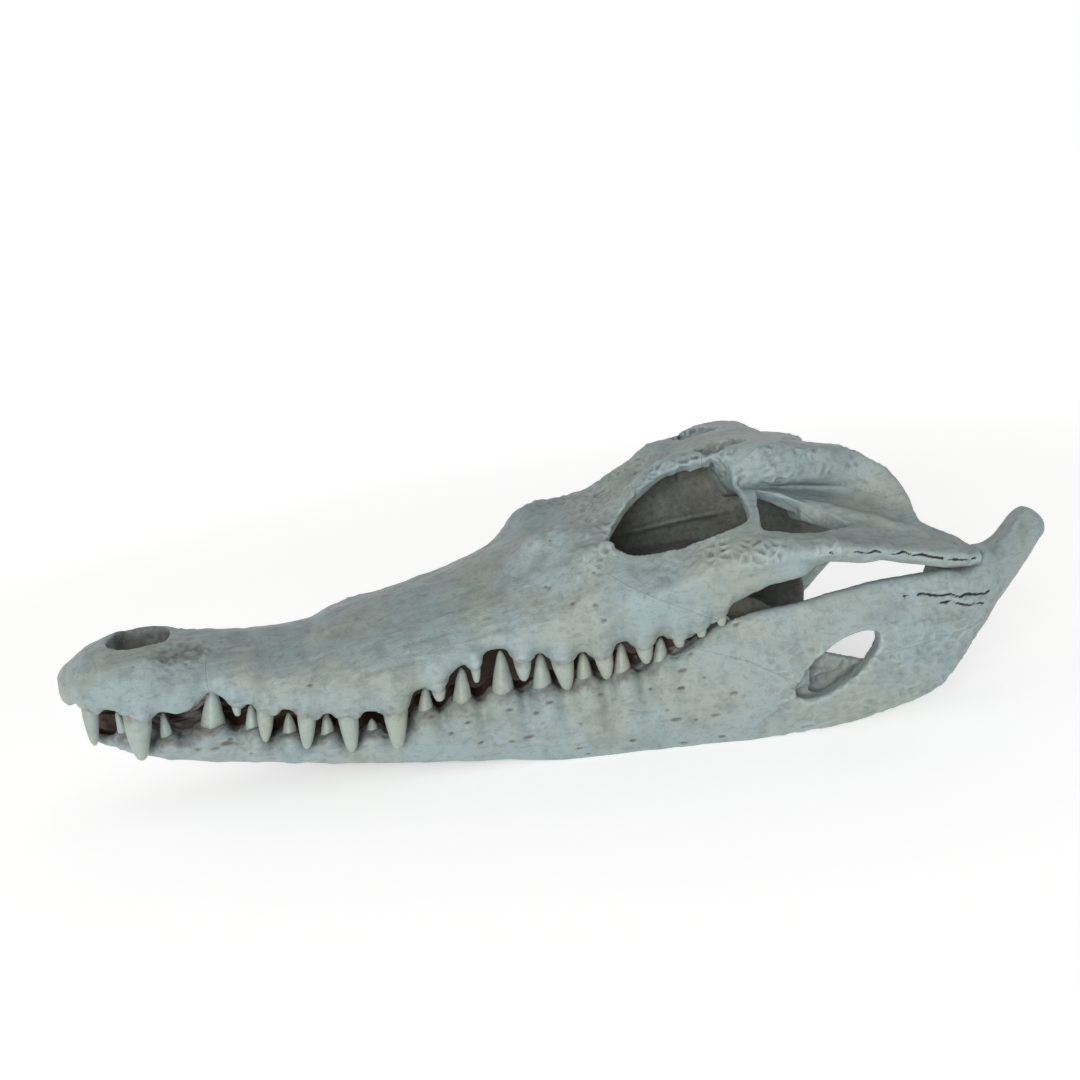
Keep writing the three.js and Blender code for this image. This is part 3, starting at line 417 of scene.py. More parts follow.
# %% [markdown]
# ## Joining and carving
#
# Solids are joined and cut with the Boolean modifier's manifold solver, which is fast and keeps closed
# meshes closed. A voxel remesh then gives the whole surface quads of one size, and a few rounds of
# smoothing turn hard edges into the soft rims that bone has.

# %% Boolean, remesh and mirror helpers
def evaluated(mesh, *modifiers):
    """The mesh after modifiers, each given as (type, {settings})."""
    thing = bpy.data.objects.new("work", mesh)
    bpy.context.scene.collection.objects.link(thing)
    for kind, settings in modifiers:
        modifier = thing.modifiers.new(kind, kind)
        for name, value in settings.items():
            setattr(modifier, name, value)
    graph = bpy.context.evaluated_depsgraph_get()
    result = bpy.data.meshes.new_from_object(thing.evaluated_get(graph), depsgraph=graph)
    bpy.data.objects.remove(thing)
    return result


def combine(first, second, how):
    """first UNION, DIFFERENCE or INTERSECT second, both closed meshes."""
    tool = bpy.data.objects.new("tool", second)
    bpy.context.scene.collection.objects.link(tool)
    result = evaluated(first, ("BOOLEAN", {"object": tool, "operation": how, "solver": "MANIFOLD"}))
    bpy.data.objects.remove(tool)
    return result


def joined(*meshes):
    """The union of several closed meshes."""
    whole = meshes[0]
    for mesh in meshes[1:]:
        whole = combine(whole, mesh, "UNION")
    return whole


def carved(mesh, *cutters):
    """The mesh with every cutter taken away."""
    for cutter in cutters:
        mesh = combine(mesh, cutter, "DIFFERENCE")
    return mesh


def mirrored(mesh):
    """The same mesh on the other side of y = 0, with its faces turned back outward."""
    other = mesh.copy()
    other.transform(Matrix.Scale(-1, 4, (0, 1, 0)))
    other.flip_normals()
    return other


def points_of(mesh, what="vertices"):
    """Vertex positions, or vertex normals, as one array."""
    found = np.empty(len(mesh.vertices) * 3)
    if what == "vertices":
        mesh.vertices.foreach_get("co", found)
    else:
        mesh.vertex_normals.foreach_get("vector", found)
    return found.reshape(-1, 3)


def set_points(mesh, points):
    """Writes the vertex positions back from one array."""
    mesh.vertices.foreach_set("co", np.ascontiguousarray(points, np.float32).ravel())
    mesh.update()


def remeshed(mesh, voxel, rounds):
    """Even quads of one size, softened by rounds of smoothing."""
    return evaluated(
        mesh,
        ("REMESH", {"mode": "VOXEL", "voxel_size": voxel, "use_smooth_shade": True}),
        ("SMOOTH", {"factor": 0.5, "iterations": rounds}),
    )


# %% [markdown]
# ## The skull roof
#
# From the snout to the jaw joint the upper skull is one dome over a flat palate. Its section is the ring of
# ridge lines at that x, mirrored to the other side.

# %% Roof
ROOF_STEP = 1.2
ROOF_THICKNESS = 6.0
PALATE_RISE = 6                             # how far the palate arches above the tooth margin
FRONT_PALATE = (3, 0.25, 40, 70)            # its level at the snout's tip: height, slope, start and end
TABLE_LID, TABLE_TOP = 49, 43               # ceilings of the hollow under the skull table
LID_DIP, REAR_DIP = 8, 15                   # how far they come down behind the eye and at the back
FAR = 200.0


def both_sides(right):
    """A closed ring from the corners of its right half, listed from below to the crown; the first and last
    lie on the midline."""
    left = right[:, -2:0:-1] * np.array([-1.0, 1.0])
    return np.concatenate([right, left], axis=1)


def behind_eye(x):
    """1 where the skull table stands free over the ear groove, 0 in front of the eye and at the joint."""
    return (smoothstep(x, 271, 280) * (1 - smoothstep(x, 343, 350)))[:, None]


def upper_lines(x):
    """Crest, recess and rim: on the straight line from shoulder to brow in front of the table, on their own
    lines under it."""
    low, high, own = shoulder(x), brow(x), behind_eye(x)
    return [
        (low + share * (high - low)) * (1 - own) + line(x) * own
        for share, line in ((0.3, crest_line), (0.55, recess_line), (0.8, rim_line))
    ]


def roof_section(x):
    """Corners: palate middle, palate side, tooth shelf, margin, cheek, shoulder, the three lines behind the
    eye, brow and crown."""
    edge = festooned_margin(x)
    rise = np.minimum(PALATE_RISE, x / 4) - 4 * window(x, 8, 24, 6)
    height, slope, start, end = FRONT_PALATE
    level = margin(x)[:, 1]
    level = np.where(x < end, np.minimum(level, height + np.maximum(start - x, 0) * slope), level)
    palate = [
        np.stack([0 * x, level + rise + 1], axis=1),
        np.stack([edge[:, 0] * 0.6, level + rise], axis=1),
        np.stack([edge[:, 0] * 0.8 - 1, 0.5 * (level + edge[:, 1]) + 1], axis=1),
    ]
    outer = [edge, cheek(x), shoulder(x), *upper_lines(x), brow(x), crown(x)]
    return both_sides(np.stack(palate + outer, axis=1))


def hollow_section(x):
    """The space under the roof: open below, walls and roof ROOF_THICKNESS inside the outer ridge lines. In
    front of the eyes it narrows and sinks until it closes."""
    opened = smoothstep(x, 200, 224)
    edge, wall = margin(x), ROOF_THICKNESS
    shelf = 12 - 6 * smoothstep(x, 235, 275)
    narrow = 0.6 + 0.4 * opened

    def corner(y, z):
        """A corner that sinks to the palate where the hollow closes."""
        return np.stack([narrow * y, edge[:, 1] + 4 + (z - edge[:, 1] - 4) * opened], axis=1)

    filled = behind_eye(x)[:, 0]
    lid = brow(x)[:, 1] - wall
    rear = REAR_DIP * smoothstep(x, 306, 334)
    lid = lid + (TABLE_LID - LID_DIP * smoothstep(x, 280, 300) - rear - lid) * filled
    top = crown(x)[:, 1] - wall
    top = top + (TABLE_TOP - rear - top) * filled
    out = [
        np.stack([0 * x, np.full_like(x, -FAR / 2)], axis=1),
        np.stack([narrow * (edge[:, 0] - shelf), np.full_like(x, -FAR / 2)], axis=1),
        np.stack([narrow * (edge[:, 0] - shelf), edge[:, 1] + 1], axis=1),
        corner(cheek(x)[:, 0] - wall - 2, cheek(x)[:, 1]),
        corner(shoulder(x)[:, 0] - wall, np.minimum(shoulder(x)[:, 1] - wall * 0.7, lid)),
        corner(brow(x)[:, 0] + 6 * filled, lid),
        corner(0, top),
    ]
    return both_sides(np.stack(out, axis=1))


roof_body = loft(0.0, 356.0, roof_section, 1.2)
hollow = loft(203.0, 362.0, hollow_section, ROOF_STEP)
print("roof body", len(roof_body.vertices), "vertices; hollow", len(hollow.vertices))

# %% [markdown]
# ## Openings
#
# The eye socket and the cheek opening look up and outward, so their outlines are drawn on a plane that
# leans by OPENING_TILT and are cut square to it. The nostril and the two openings in the skull table look
# straight up. The ear groove under the table's edge needs no cutter: the recess line has already pressed
# it into the skin.

# %% Openings
OPENING_TILT = math.radians(30)
SLOPED_CUT = (30, 120)                      # from inside the skull to well outside it
TABLE_CUT_FLOOR, NOSTRIL_FLOOR = 60, 9
SLOPE = ((1, 0, 0), (0, -math.cos(OPENING_TILT), math.sin(OPENING_TILT)),
         (0, math.sin(OPENING_TILT), math.cos(OPENING_TILT)))
PLAN = ((1, 0, 0), (0, 1, 0), (0, 0, 1))
SIDE = ((1, 0, 0), (0, 0, 1), (0, 1, 0))

EYE = [
    [222, -15], [226, -7], [233.5, 1], [242, 6.9], [252, 11.4], [262, 11.6], [271.5, 9.5], [276.5, 3],
    [276.5, -6], [276.5, -17], [274.5, -26], [262, -30], [246, -28.5], [232, -25], [224, -20.5],
]
CHEEK_OPENING = [
    [278, -34], [278.8, -26], [280.8, -17], [283.5, -10.5], [289, -11.5], [299, -19], [306.5, -27.5],
    [311, -36], [296, -38.5], [286, -37],
]
TABLE_OPENING = [
    [267, 18], [270, 12.5], [277, 11], [285, 13], [289, 18.5], [285, 24], [277, 26], [270, 23.5],
]
NOSTRIL = [
    [22, 5], [25, 11.5], [32, 13.4], [40, 12.6], [45, 8], [46, 3],
    [46, -3], [45, -8], [40, -12.6], [32, -13.4], [25, -11.5], [22, -5],
]
BEHIND_ROOF = [
    [324, -1], [325, 20], [326.5, 34], [331, 40], [336, 43.5], [340, 47], [342, 52], [342.5, 58],
    [344, 62], [348, 67], [353, 74], [357, 80], [370, 80], [370, -1],
]


def bar(stations, sides=10):
    """A bent bar: rings of [x, y, z, half width, half height] square to the path, the width lying in y."""
    table = np.array(stations, float)
    path, half = table[:, :3], table[:, 3:]
    t = np.linspace(0, len(path) - 1, 6 * (len(path) - 1) + 1)
    path = np.stack([curve_through(path[:, k], t) for k in range(3)], axis=1)
    half = np.stack([curve_through(half[:, k], t) for k in range(2)], axis=1)
    along = np.gradient(path, axis=0)
    along /= np.linalg.norm(along, axis=1)[:, None]
    across = np.array([0.0, 1.0, 0.0]) - along * along[:, 1:2]
    across /= np.linalg.norm(across, axis=1)[:, None]
    up = np.cross(along, across)
    turn = 2 * np.pi * (np.arange(2 * sides) + 0.5) / (2 * sides)
    ring = (np.cos(turn)[None, :, None] * half[:, None, :1] * across[:, None]
            + np.sin(turn)[None, :, None] * half[:, None, 1:] * up[:, None])
    return skin(path[:, None] + ring)


def curve_through(values, t):
    """Catmull-Rom through evenly spaced values at the times t."""
    padded = np.concatenate([values[:1], values, values[-1:]])
    i = np.clip(t.astype(int), 0, len(values) - 2)
    s = t - i
    a, b, c, d = (padded[i + k] for k in range(4))
    return b + 0.5 * s * (c - a + s * (2 * a - 5 * b + 4 * c - d + s * (3 * (b - c) + d - a)))


side_openings = [
    prism(EYE, *SLOPED_CUT, SLOPE), prism(CHEEK_OPENING, *SLOPED_CUT, SLOPE),
    prism(TABLE_OPENING, TABLE_CUT_FLOOR, FAR, PLAN),
]
behind_roof = prism(BEHIND_ROOF, -FAR, FAR, PLAN)

roof = carved(roof_body, hollow, prism(NOSTRIL, NOSTRIL_FLOOR, FAR, PLAN))
roof = carved(roof, *side_openings, *[mirrored(cut) for cut in side_openings])
roof = carved(roof, behind_roof, mirrored(behind_roof))
print("carved roof", len(roof.polygons), "faces;", round(time.time() - STARTED, 1), "s")

# %% [markdown]
# ## The jaw joint and the pits for the lower teeth
#
# The quadrate is a flat bar that runs out and back from under the table to the jaw joint, where it ends in a
# rounded roller. The tips of the lower teeth fit pits in the edge of the upper jaw.

# %% Quadrate bars, pits and the whole upper skull
# Stations are [x, inner y, outer y, low z, high z].
QUADRATE_BAR = ridge([
    [298, 32, 48, 37, 47], [312, 35, 58, 32, 43.5], [327, 41, 65, 26, 37.5], [341, 51, 73, 19, 30.5],
    [351, 57, 80.5, 16.4, 25.5], [356, 58, 80.5, 17.5, 23],
])
TOOTH_SIDES = 28
TOOTH_FULLNESS = 1.2                        # the crown swells past the width of its socket
ROOT_DEPTH = 4
PIT_ROOM = 1.1
SHORT_TOOTH, LONG_TOOTH = 6.5, 19
# The power of the taper: low for a worn stub, high for a slender point.
STUB_TAPER, UPPER_TAPER, LOWER_TAPER, LONG_TAPER = 0.28, 0.38, 0.5, 0.7


def quadrate_section(x):
    """Corners of the bar, square to x: a flat oval between its inner and outer edges."""
    inner, outer, low, high = QUADRATE_BAR(x).T
    middle = (inner + outer) / 2
    return corners_of([
        (inner, low + 1.5), (inner + 3, low), (middle, low + 0.4), (outer, low + 2), (outer, high - 3),
        (outer - 4, high), (middle, high - 1.0), (inner, high - 2),
    ])


def taper(length, direction):
    """The taper of a tooth by its length and jaw."""
    if length < SHORT_TOOTH:
        return STUB_TAPER
    if direction < 0:
        return UPPER_TAPER
    return LONG_TAPER if length > LONG_TOOTH else LOWER_TAPER


def tooth(root, tip, width, blunt, around, bow=0.06, along=26):
    """A curved cone: its middle line is the arc root + t (tip - root) + 4 t (1 - t) bow, its half width
    (width / 2) (1 - t)^blunt, flattened a little towards two keels fore and aft."""
    root, tip = np.array(root, float), np.array(tip, float)
    axis = tip - root
    length = np.linalg.norm(axis)
    axis /= length
    fore = np.array([1.0, 0.0, 0.0]) - axis * axis[0]
    fore /= np.linalg.norm(fore)
    side = np.cross(axis, fore)
    s = np.linspace(0, 1, along)
    t = 1 - (1 - s) ** 1.6
    turn = 2 * np.pi * np.arange(around) / around
    half = width / 2 * np.maximum(1 - t, 2e-3) ** blunt
    outward = side * np.sign(side[1] * root[1])
    middle = root + t[:, None] * (tip - root) + 4 * (t * (1 - t))[:, None] * bow * length * outward
    keel = 1 + 0.05 * np.abs(np.cos(turn)) ** 6
    ring = np.cos(turn)[:, None] * keel[:, None] * fore + 0.94 * np.sin(turn)[:, None] * side
    return skin(middle[:, None] + half[:, None, None] * ring[None])


def tooth_row(teeth, row_seats, direction, flare, room=0.0, sides=TOOTH_SIDES):
    """Every tooth of one row as its own closed mesh, on the right side of the animal."""
    found = []
    for (x, length, width, forwards), (_, y, z) in zip(teeth, row_seats):
        root = (x, y, z - ROOT_DEPTH * direction)
        tip = (x - forwards, y + flare * length, z + direction * (length + room))
        width = TOOTH_FULLNESS * width + 2 * room
        found.append(tooth(root, tip, width, taper(length, direction), sides))
    return found


pits = tooth_row(LOWER_TEETH, lower_seats, 1, LOWER_FLARE, PIT_ROOM, 16)
quadrate_bar = loft(298.0, 356.0, quadrate_section, 1.5)
upper = joined(roof, quadrate_bar, mirrored(quadrate_bar))
for pit in pits:
    upper = carved(upper, pit, mirrored(pit))
print("upper skull", len(upper.polygons), "faces;", round(time.time() - STARTED, 1), "s")

# %% [markdown]
# ## The lower jaw
#
# Each half of the jaw is a tall, narrow beam. Behind the teeth it opens into a chamber for the muscles that
# close it, with a window in its outer wall, and it ends in the cup of the joint and a spur behind that.

# %% Lower jaw
JAW_WALL = 5.5
JAW_THICKNESS = ridge([
    [9, 4, 0], [23, 12, 0], [40, 18, 0], [120, 18, 0], [200, 14, 0], [250, 13.5, 0], [320, 15, 0],
    [343, 20, 0], [352, 24, 0], [362, 17, 0], [376, 12, 0], [392, 5, 0],
])
JAW_WINDOW = [
    [281, -22.5], [285.5, -15], [291, -9.5], [301, -3.3], [309, -1.1], [314.5, -2.5], [314, -8], [309, -14.5],
    [301, -20.5], [290, -25.3], [283.5, -25],
]
# Stations of the muscle chamber: [x, floor z, width, top z of the inner wall].
CHAMBER = ridge([
    [262, -2, 8, 5.5], [277, -22, 8, -4], [288, -26, 8, -9], [298, -27, 8.4, -12.5], [306, -27, 8.4, -15.5],
    [316, -25, 8.4, -18.5], [326, -21, 8.4, -17], [334, -17, 8.4, -7], [341, 2, 8, 8],
])
INNER_SHELF_FRONT, INNER_SHELF_REAR = 3.4, 6.5  # how far the inner edge stands above the outer one
# Stations of the joint between the jaw halves: [x, reach in y, low z, high z].
SYMPHYSIS = ridge([
    [9, 4.5, -5.5, 2.4], [16, 7, -9, 2.6], [23, 9, -12.3, 0.6], [31, 12, -15, -3.5], [40, 15, -17, -8.5],
    [56, 16, -18.8, -9], [63, 15, -18, -12],
])


def jaw_section(x):
    """Corners of one jaw half: an upright oval between the lower and upper lines, bulging outward."""
    low, top, thick = jaw_lower(x), festooned_jaw(x), JAW_THICKNESS(x)[:, 0]
    flat = np.minimum(3, thick / 4)
    height = top[:, 1] - low[:, 1]

    def corner(share, out, rise):
        """A corner that lies a share of the way from the lower line to the upper one, then out by some."""
        y = low[:, 0] + share * (top[:, 0] - low[:, 0]) + out
        return np.stack([y, low[:, 1] + rise * height], axis=1)

    inner_top = corner(1, -0.85 * thick, 0.98)
    inner_top[:, 1] += INNER_SHELF_FRONT * window(x, 66, 180, 8) + INNER_SHELF_REAR * window(x, 196, 240, 10)
    return np.stack([
        corner(0, -2 * flat - 1, 0), corner(0, -1, 0), corner(0.12, 1.6, 0.14), corner(0.45, 2.2, 0.45),
        corner(0.8, 1, 0.82), corner(1, -1, 1), corner(1, -0.5 * thick, 1.0), inner_top,
        corner(0.6, -thick, 0.6), corner(0.3, -thick, 0.3),
    ], axis=1)


def chamber_section(x):
    """Corners of the muscle chamber, open upward, JAW_WALL inside the outer face."""
    floor, width, inner_top = CHAMBER(x).T
    low, top = jaw_lower(x)[:, 0], jaw_upper(x)[:, 0]
    outer = low + 0.6 * (top - low) + 1.6 - JAW_WALL
    top = top - JAW_WALL
    high = np.full_like(x, 40.0)
    inner = outer - width + 1.5
    pairs = [(outer - 1, floor), (outer, floor + 2), (top, high), (top - 60, high), (top - 60, inner_top),
             (inner, inner_top), (inner, floor)]
    return corners_of(pairs)


def symphysis_section(x):
    """A box across the midline, where the two jaw halves meet."""
    reach, low, high = SYMPHYSIS(x).T
    return corners_of([(-reach, low), (reach, low), (reach, high), (-reach, high)])


jaw_half = carved(
    loft(8.0, 392.0, jaw_section, 1.2),
    loft(262.0, 341.0, chamber_section, 3.0, rounded=False),
    prism(JAW_WINDOW, 67, 100, SIDE),
)
symphysis = loft(9.0, 63.0, symphysis_section, 3.0, rounded=False)
lower = joined(jaw_half, mirrored(jaw_half), symphysis)
print("lower jaw", len(lower.polygons), "faces;", round(time.time() - STARTED, 1), "s")

# %% [markdown]
# ## One even surface
#
# Both halves are remeshed to small even quads and softened. From here on, every change is made by moving
# the points of these meshes along their normals.

# %% Remesh
upper = remeshed(upper, VOXEL, 10)
lower = remeshed(lower, VOXEL, 10)
print("even surfaces:", len(upper.vertices), "and", len(lower.vertices), "points;",
      round(time.time() - STARTED, 1), "s")

# %% [markdown]
# ## Numbers that look like nature
#
# Bone is never even. Two kinds of pattern give its texture: smooth noise, a random number at every corner of
# a cubic lattice blended in between, and cells, the distances to the nearest and second nearest of points
# scattered one to each lattice cube.

# %% Noise and cells
def hashed(cell, seed):
    """A random-looking number from 0 to 1 for each whole-number lattice corner, by mixing its bits."""
    n = (cell[..., 0] * 73856093) ^ (cell[..., 1] * 19349663) ^ (cell[..., 2] * 83492791)
    n = n ^ (seed * 2654435761)
    n = (n ^ (n >> 13)) * 1274126177
    n = (n ^ (n >> 16)) & 0xFFFFFF
    return n / 0xFFFFFF


def noise(points, size, seed, stretch=(1, 1, 1)):
    """Smooth noise from -1 to 1 whose lumps are about size across, longer by stretch along each axis."""
    q = points / (size * np.array(stretch))
    low = np.floor(q).astype(np.int64)
    t = q - low
    t = t * t * (3 - 2 * t)
    total = np.zeros(len(points))
    for corner in np.ndindex(2, 2, 2):
        c = np.array(corner)
        weight = np.prod(np.where(c, t, 1 - t), axis=1)
        total += weight * hashed(low + c, seed)
    return 2 * total - 1


def layered(points, layers):
    """A sum of smooth noises from rows of [amount, size, seed, stretch along x]."""
    return sum(amount * noise(points, size, seed, (stretch, 1, 1)) for amount, size, seed, stretch in layers)


def cells(points, size, seed):
    """(nearest distance, second nearest distance, random number of the nearest cell), in cell sizes."""
    q = points / size
    low = np.floor(q).astype(np.int64)
    first, second = np.full(len(q), 9.0), np.full(len(q), 9.0)
    owner = np.zeros(len(q))
    for corner in np.ndindex(3, 3, 3):
        cell = low + np.array(corner) - 1
        centre = cell + np.stack([hashed(cell, seed + k) for k in range(3)], axis=1)
        far = np.linalg.norm(q - centre, axis=1)
        closer = far < first
        second = np.where(closer, first, np.minimum(second, far))
        owner = np.where(closer, hashed(cell, seed + 3), owner)
        first = np.where(closer, far, first)
    return first, second, owner


# %% [markdown]
# ## Bone texture
#
# The bones of a crocodile are worn where skin lay tight on them. The cheek bone, the table and the rims of
# the eyes are dimpled with round pits, the long snout bones carry fine streaks and scattered small holes for
# vessels, and the angular at the back of the jaw is rough where muscle took hold. Knobs stand in front of
# the eyes.

# %% Texture of the upper skull
# Rows of [amount in millimetres, size, seed, stretch along x].
UPPER_LUMPS = ((0.5, 14, 1, 1), (0.42, 6.5, 2, 1), (0.2, 3, 3, 1))
UPPER_STREAKS = ((0.17, 2.2, 4, 8), (0.102, 1.3, 5, 11))
# Knobs before the eyes: [x, y, z, radius, height].
KNOBS = np.array([
    [188, -24, 38, 5.5, 2.4], [196, -25.5, 42, 4.5, 2.8], [205, -29, 44, 5.5, 2.0],
    [215, -36, 46.5, 5.0, 1.8],
    [188, 24, 38, 5.5, 2.2], [196, 26, 43, 4.5, 2.6], [205, 29, 46, 5.5, 2.0], [215, 36, 47, 5.0, 1.8],
    [191, -35, 40, 4.5, 1.6], [207, -44, 39, 5, 1.6], [212, -43, 43, 4.5, 1.8], [218, -45, 45, 4, 1.6],
    [199, 35, 39, 4.5, 1.6], [209, 44, 40, 5, 1.6],
    [14, -10, 26, 5, 0.8], [108, -14, 24, 6, 0.8], [120, 16, 27, 6, 0.8], [56, -12, 24, 5, 0.9],
])


def socket_swell(p, teeth, row_seats, direction):
    """How far each point swells over the roots of the teeth, and how near it is to a tooth's rim. For each
    tooth the root's line is upright; swell = exp(-(across / width)^2) times a fall-off along the root."""
    swell, rim = np.zeros(len(p)), np.zeros(len(p))
    for (x, length, width, _), (_, y, z) in zip(teeth, row_seats):
        near = (np.abs(p[:, 0] - x) < 2 * width) & (np.abs(np.abs(p[:, 1]) - y) < 14)
        q = p[near]
        up = -direction * (q[:, 2] - z)
        across = q[:, 0] - x
        fall = smoothstep(up, -4, 1) * (1 - smoothstep(up, 4, 16))
        swell[near] += np.exp(-(across / (0.62 * width)) ** 2) * fall * min(1, length / 10)
        away = np.hypot(across, np.abs(q[:, 1]) - y)
        ring = np.exp(-((away - 0.62 * width - 0.5) / 0.8) ** 2)
        rim[near] = np.maximum(rim[near], ring * window(up, -4, 3, 2))
    return swell, rim


def pitted(p, size, seed, radius, share):
    """Depth of scattered round pits, from 0 to 1: a share of the cells holds one, each of its own size."""
    first, _, owner = cells(p, size, seed)
    reach = radius / size * (0.55 + 0.9 * hashed((owner[:, None] * 9999 * np.ones(3)).astype(np.int64), seed))
    return np.where(owner < share, 1 - smoothstep(first / reach, 0.15, 1.0), 0)


def netted(p, size, seed):
    """A net of low ridges round shallow dimples: 1 - smoothstep of (second - first), 1 on the ridges. The
    points are shaken first, so that the ridges wander."""
    shake = np.stack([noise(p, 1.3 * size, seed + k) for k in (5, 6, 7)], axis=1)
    first, second, _ = cells(p + 0.35 * size * shake, size, seed)
    return 1 - smoothstep(second - first, 0.0, 0.55)


def along(p, path, reach):
    """How near each point is to a path of [x, y, z] stations: exp(-(distance / reach)^2)."""
    path = np.array(path, float)
    best = np.full(len(p), 1e9)
    for a, b in zip(path[:-1], path[1:]):
        step = b - a
        t = np.clip(((p - a) @ step) / (step @ step), 0, 1)[:, None]
        best = np.minimum(best, ((p - a - t * step) ** 2).sum(axis=1))
    return np.exp(-best / reach ** 2)


def folded(p):
    """The same points with the left side laid over the right."""
    return p * (1, 0, 1) + np.abs(p) * (0, 1, 0)


CHEEK_RIDGE = [[222, 58, 24], [240, 66, 28], [262, 71, 35], [282, 74, 38], [300, 76, 36]]
CHEEK_NET = [[236, 63, 37], [248, 66, 39], [260, 68.5, 39], [272, 72, 37.5], [284, 74, 35.5], [298, 76, 32.5]]
CHEEK_TROUGH = [[240, 65, 17], [256, 70, 22.5], [270, 73, 27], [286, 75.5, 30.5]]
EYE_RIM = [[214, 45, 37], [221, 46, 43], [230, 40, 49], [241, 31, 56], [253, 26, 61.5], [266, 27, 64.5]]
NOSE_HOLLOW = [[44, 18, 22], [50, 16, 22.6], [56, 14.5, 22]]
FRONT_SLITS = [[[11, 11.5, 23.6], [14.5, 12.5, 24.6]], [[185.5, 41.5, 33.2], [190, 42.5, 33.6]]]
NOSE_LIP = [[49, 20.5, 16.5], [55, 19, 18], [60, 17, 20.5], [61, 14.5, 22.5]]
CHEEK_CRACKS = [
    [[303, 76, 31.2], [313, 77, 30], [325, 78, 27.7], [334, 78.5, 25.2], [340, 79, 23.6]],
    [[342, 79, 22.6], [348, 79.5, 21.4], [353, 80, 20]], [[287, 76, 30], [290, 76, 28.4]],
    [[298, 76, 31.8], [301, 76, 29.8]], [[293, 76, 31.4], [295, 76, 29.6]],
]
SIDE_VIEW = np.array([1.0, 0.0, 1.0])          # drops y, so that only the place on the side counts
CRACK_SHAKE, CRACK_WIDTH = 1.1, 0.62
# Darkening along the jaw joint, where the two bones meet: brown stain and painted shade in the gap.
JOINT_STAIN_AND_SHADE = 1.1
JOINT = [[343, 80, 17.5], [352, 80, 16.5], [357.5, 79, 19], [358, 77, 24]]
JAW_CRACKS = [
    [[325, 77, 10.2], [332, 77.5, 9.6], [341, 79, 7.8], [350, 79, 6.4], [360, 78.5, 4.4]],
    [[339, 79, 5.2], [347, 79, 3.6], [357, 78.5, 1]],
]


def cracked(p, paths, seed):
    """How near each point of the left side is to a crack: paths of stations seen from the side, shaken by
    noise and broken up where slower noise is low."""
    shaken = p * SIDE_VIEW + CRACK_SHAKE * noise(p, 3.5, seed + 100)[:, None] * (0, 0, 1)
    near = np.max([along(shaken, path * SIDE_VIEW, CRACK_WIDTH) for path in paths], axis=0)
    return near * smoothstep(noise(p, 3.5, seed), -0.9, -0.35) * (p[:, 1] < -60)


# Stretches along the skull: [start, end, how softly they fade].
SNOUT, FRONT, BROWS, TABLE_TOP_SPAN = (40, 215, 14), (2, 66, 8), (196, 258, 8), (258, 326, 6)
MOUTH_ROOF, TOOTH_EDGE, NOSTRIL_SPAN, HOLLOW_SPAN = (8, 262, 4), (0, 262, 6), (20.5, 47.5, 1), (206, 330, 6)
# Scattered pits: size of the cells, seed, radius, share of the cells that hold one.
SNOUT_HOLES, FRONT_PITS = (6.0, 6, 0.95, 0.5), (5.2, 8, 1.3, 0.45)
NET_CELL, NET_RIDGE, DIMPLE_DEPTH, NET_LEVEL = 4.4, 0.75, 0.6, 0.15
HOLE_DEPTH, PIT_DEPTH, SLIT_DEPTH, CRACK_DEPTH = 0.7, 0.4, 0.9, 0.35
RIDGE_RISE, TROUGH_DEPTH, EYE_RIM_RISE, LIP_RISE = 1.3, 1.0, 0.9, 0.9
UPPER_ROOT_SWELL, UPPER_RIM_RISE = 1.2, 0.5
# The last two raise the stain value past its cap under the mouth's roof and on the walls inside the skull:
# brown stain deepened with painted shade.
MOST_STAIN, MOUTH_STAIN_AND_SHADE, SKULL_INSIDE_STAIN_AND_SHADE = 0.8, 1.45, 0.8


def knobs(p):
    """Height of the knobs, each tall exp(-(distance / radius)^2), and how near a point is to one."""
    height, nearest = np.zeros(len(p)), np.zeros(len(p))
    for *centre, radius, tall in KNOBS:
        lift = np.exp(-(np.linalg.norm((p - centre) * (0.8, 1, 0.7), axis=1) / radius) ** 2) * tall
        height += lift
        nearest = np.maximum(nearest, lift)
    return height, smoothstep(nearest, 0.1, 0.6)


def inside_skull(p, n):
    """1 on walls that face the hollow of the skull behind the snout, 0 on those that face out."""
    x, y, z = p.T
    inward = -n[:, 1] * np.sign(y) - n[:, 2]
    under_table = 1 - smoothstep(z, 50, 54) * smoothstep(x, 262, 268)
    within = smoothstep(shoulder(x)[:, 0] - np.abs(y), 2, 7) * window(x, *HOLLOW_SPAN)
    return smoothstep(inward, 0.1, 0.7) * within * under_table


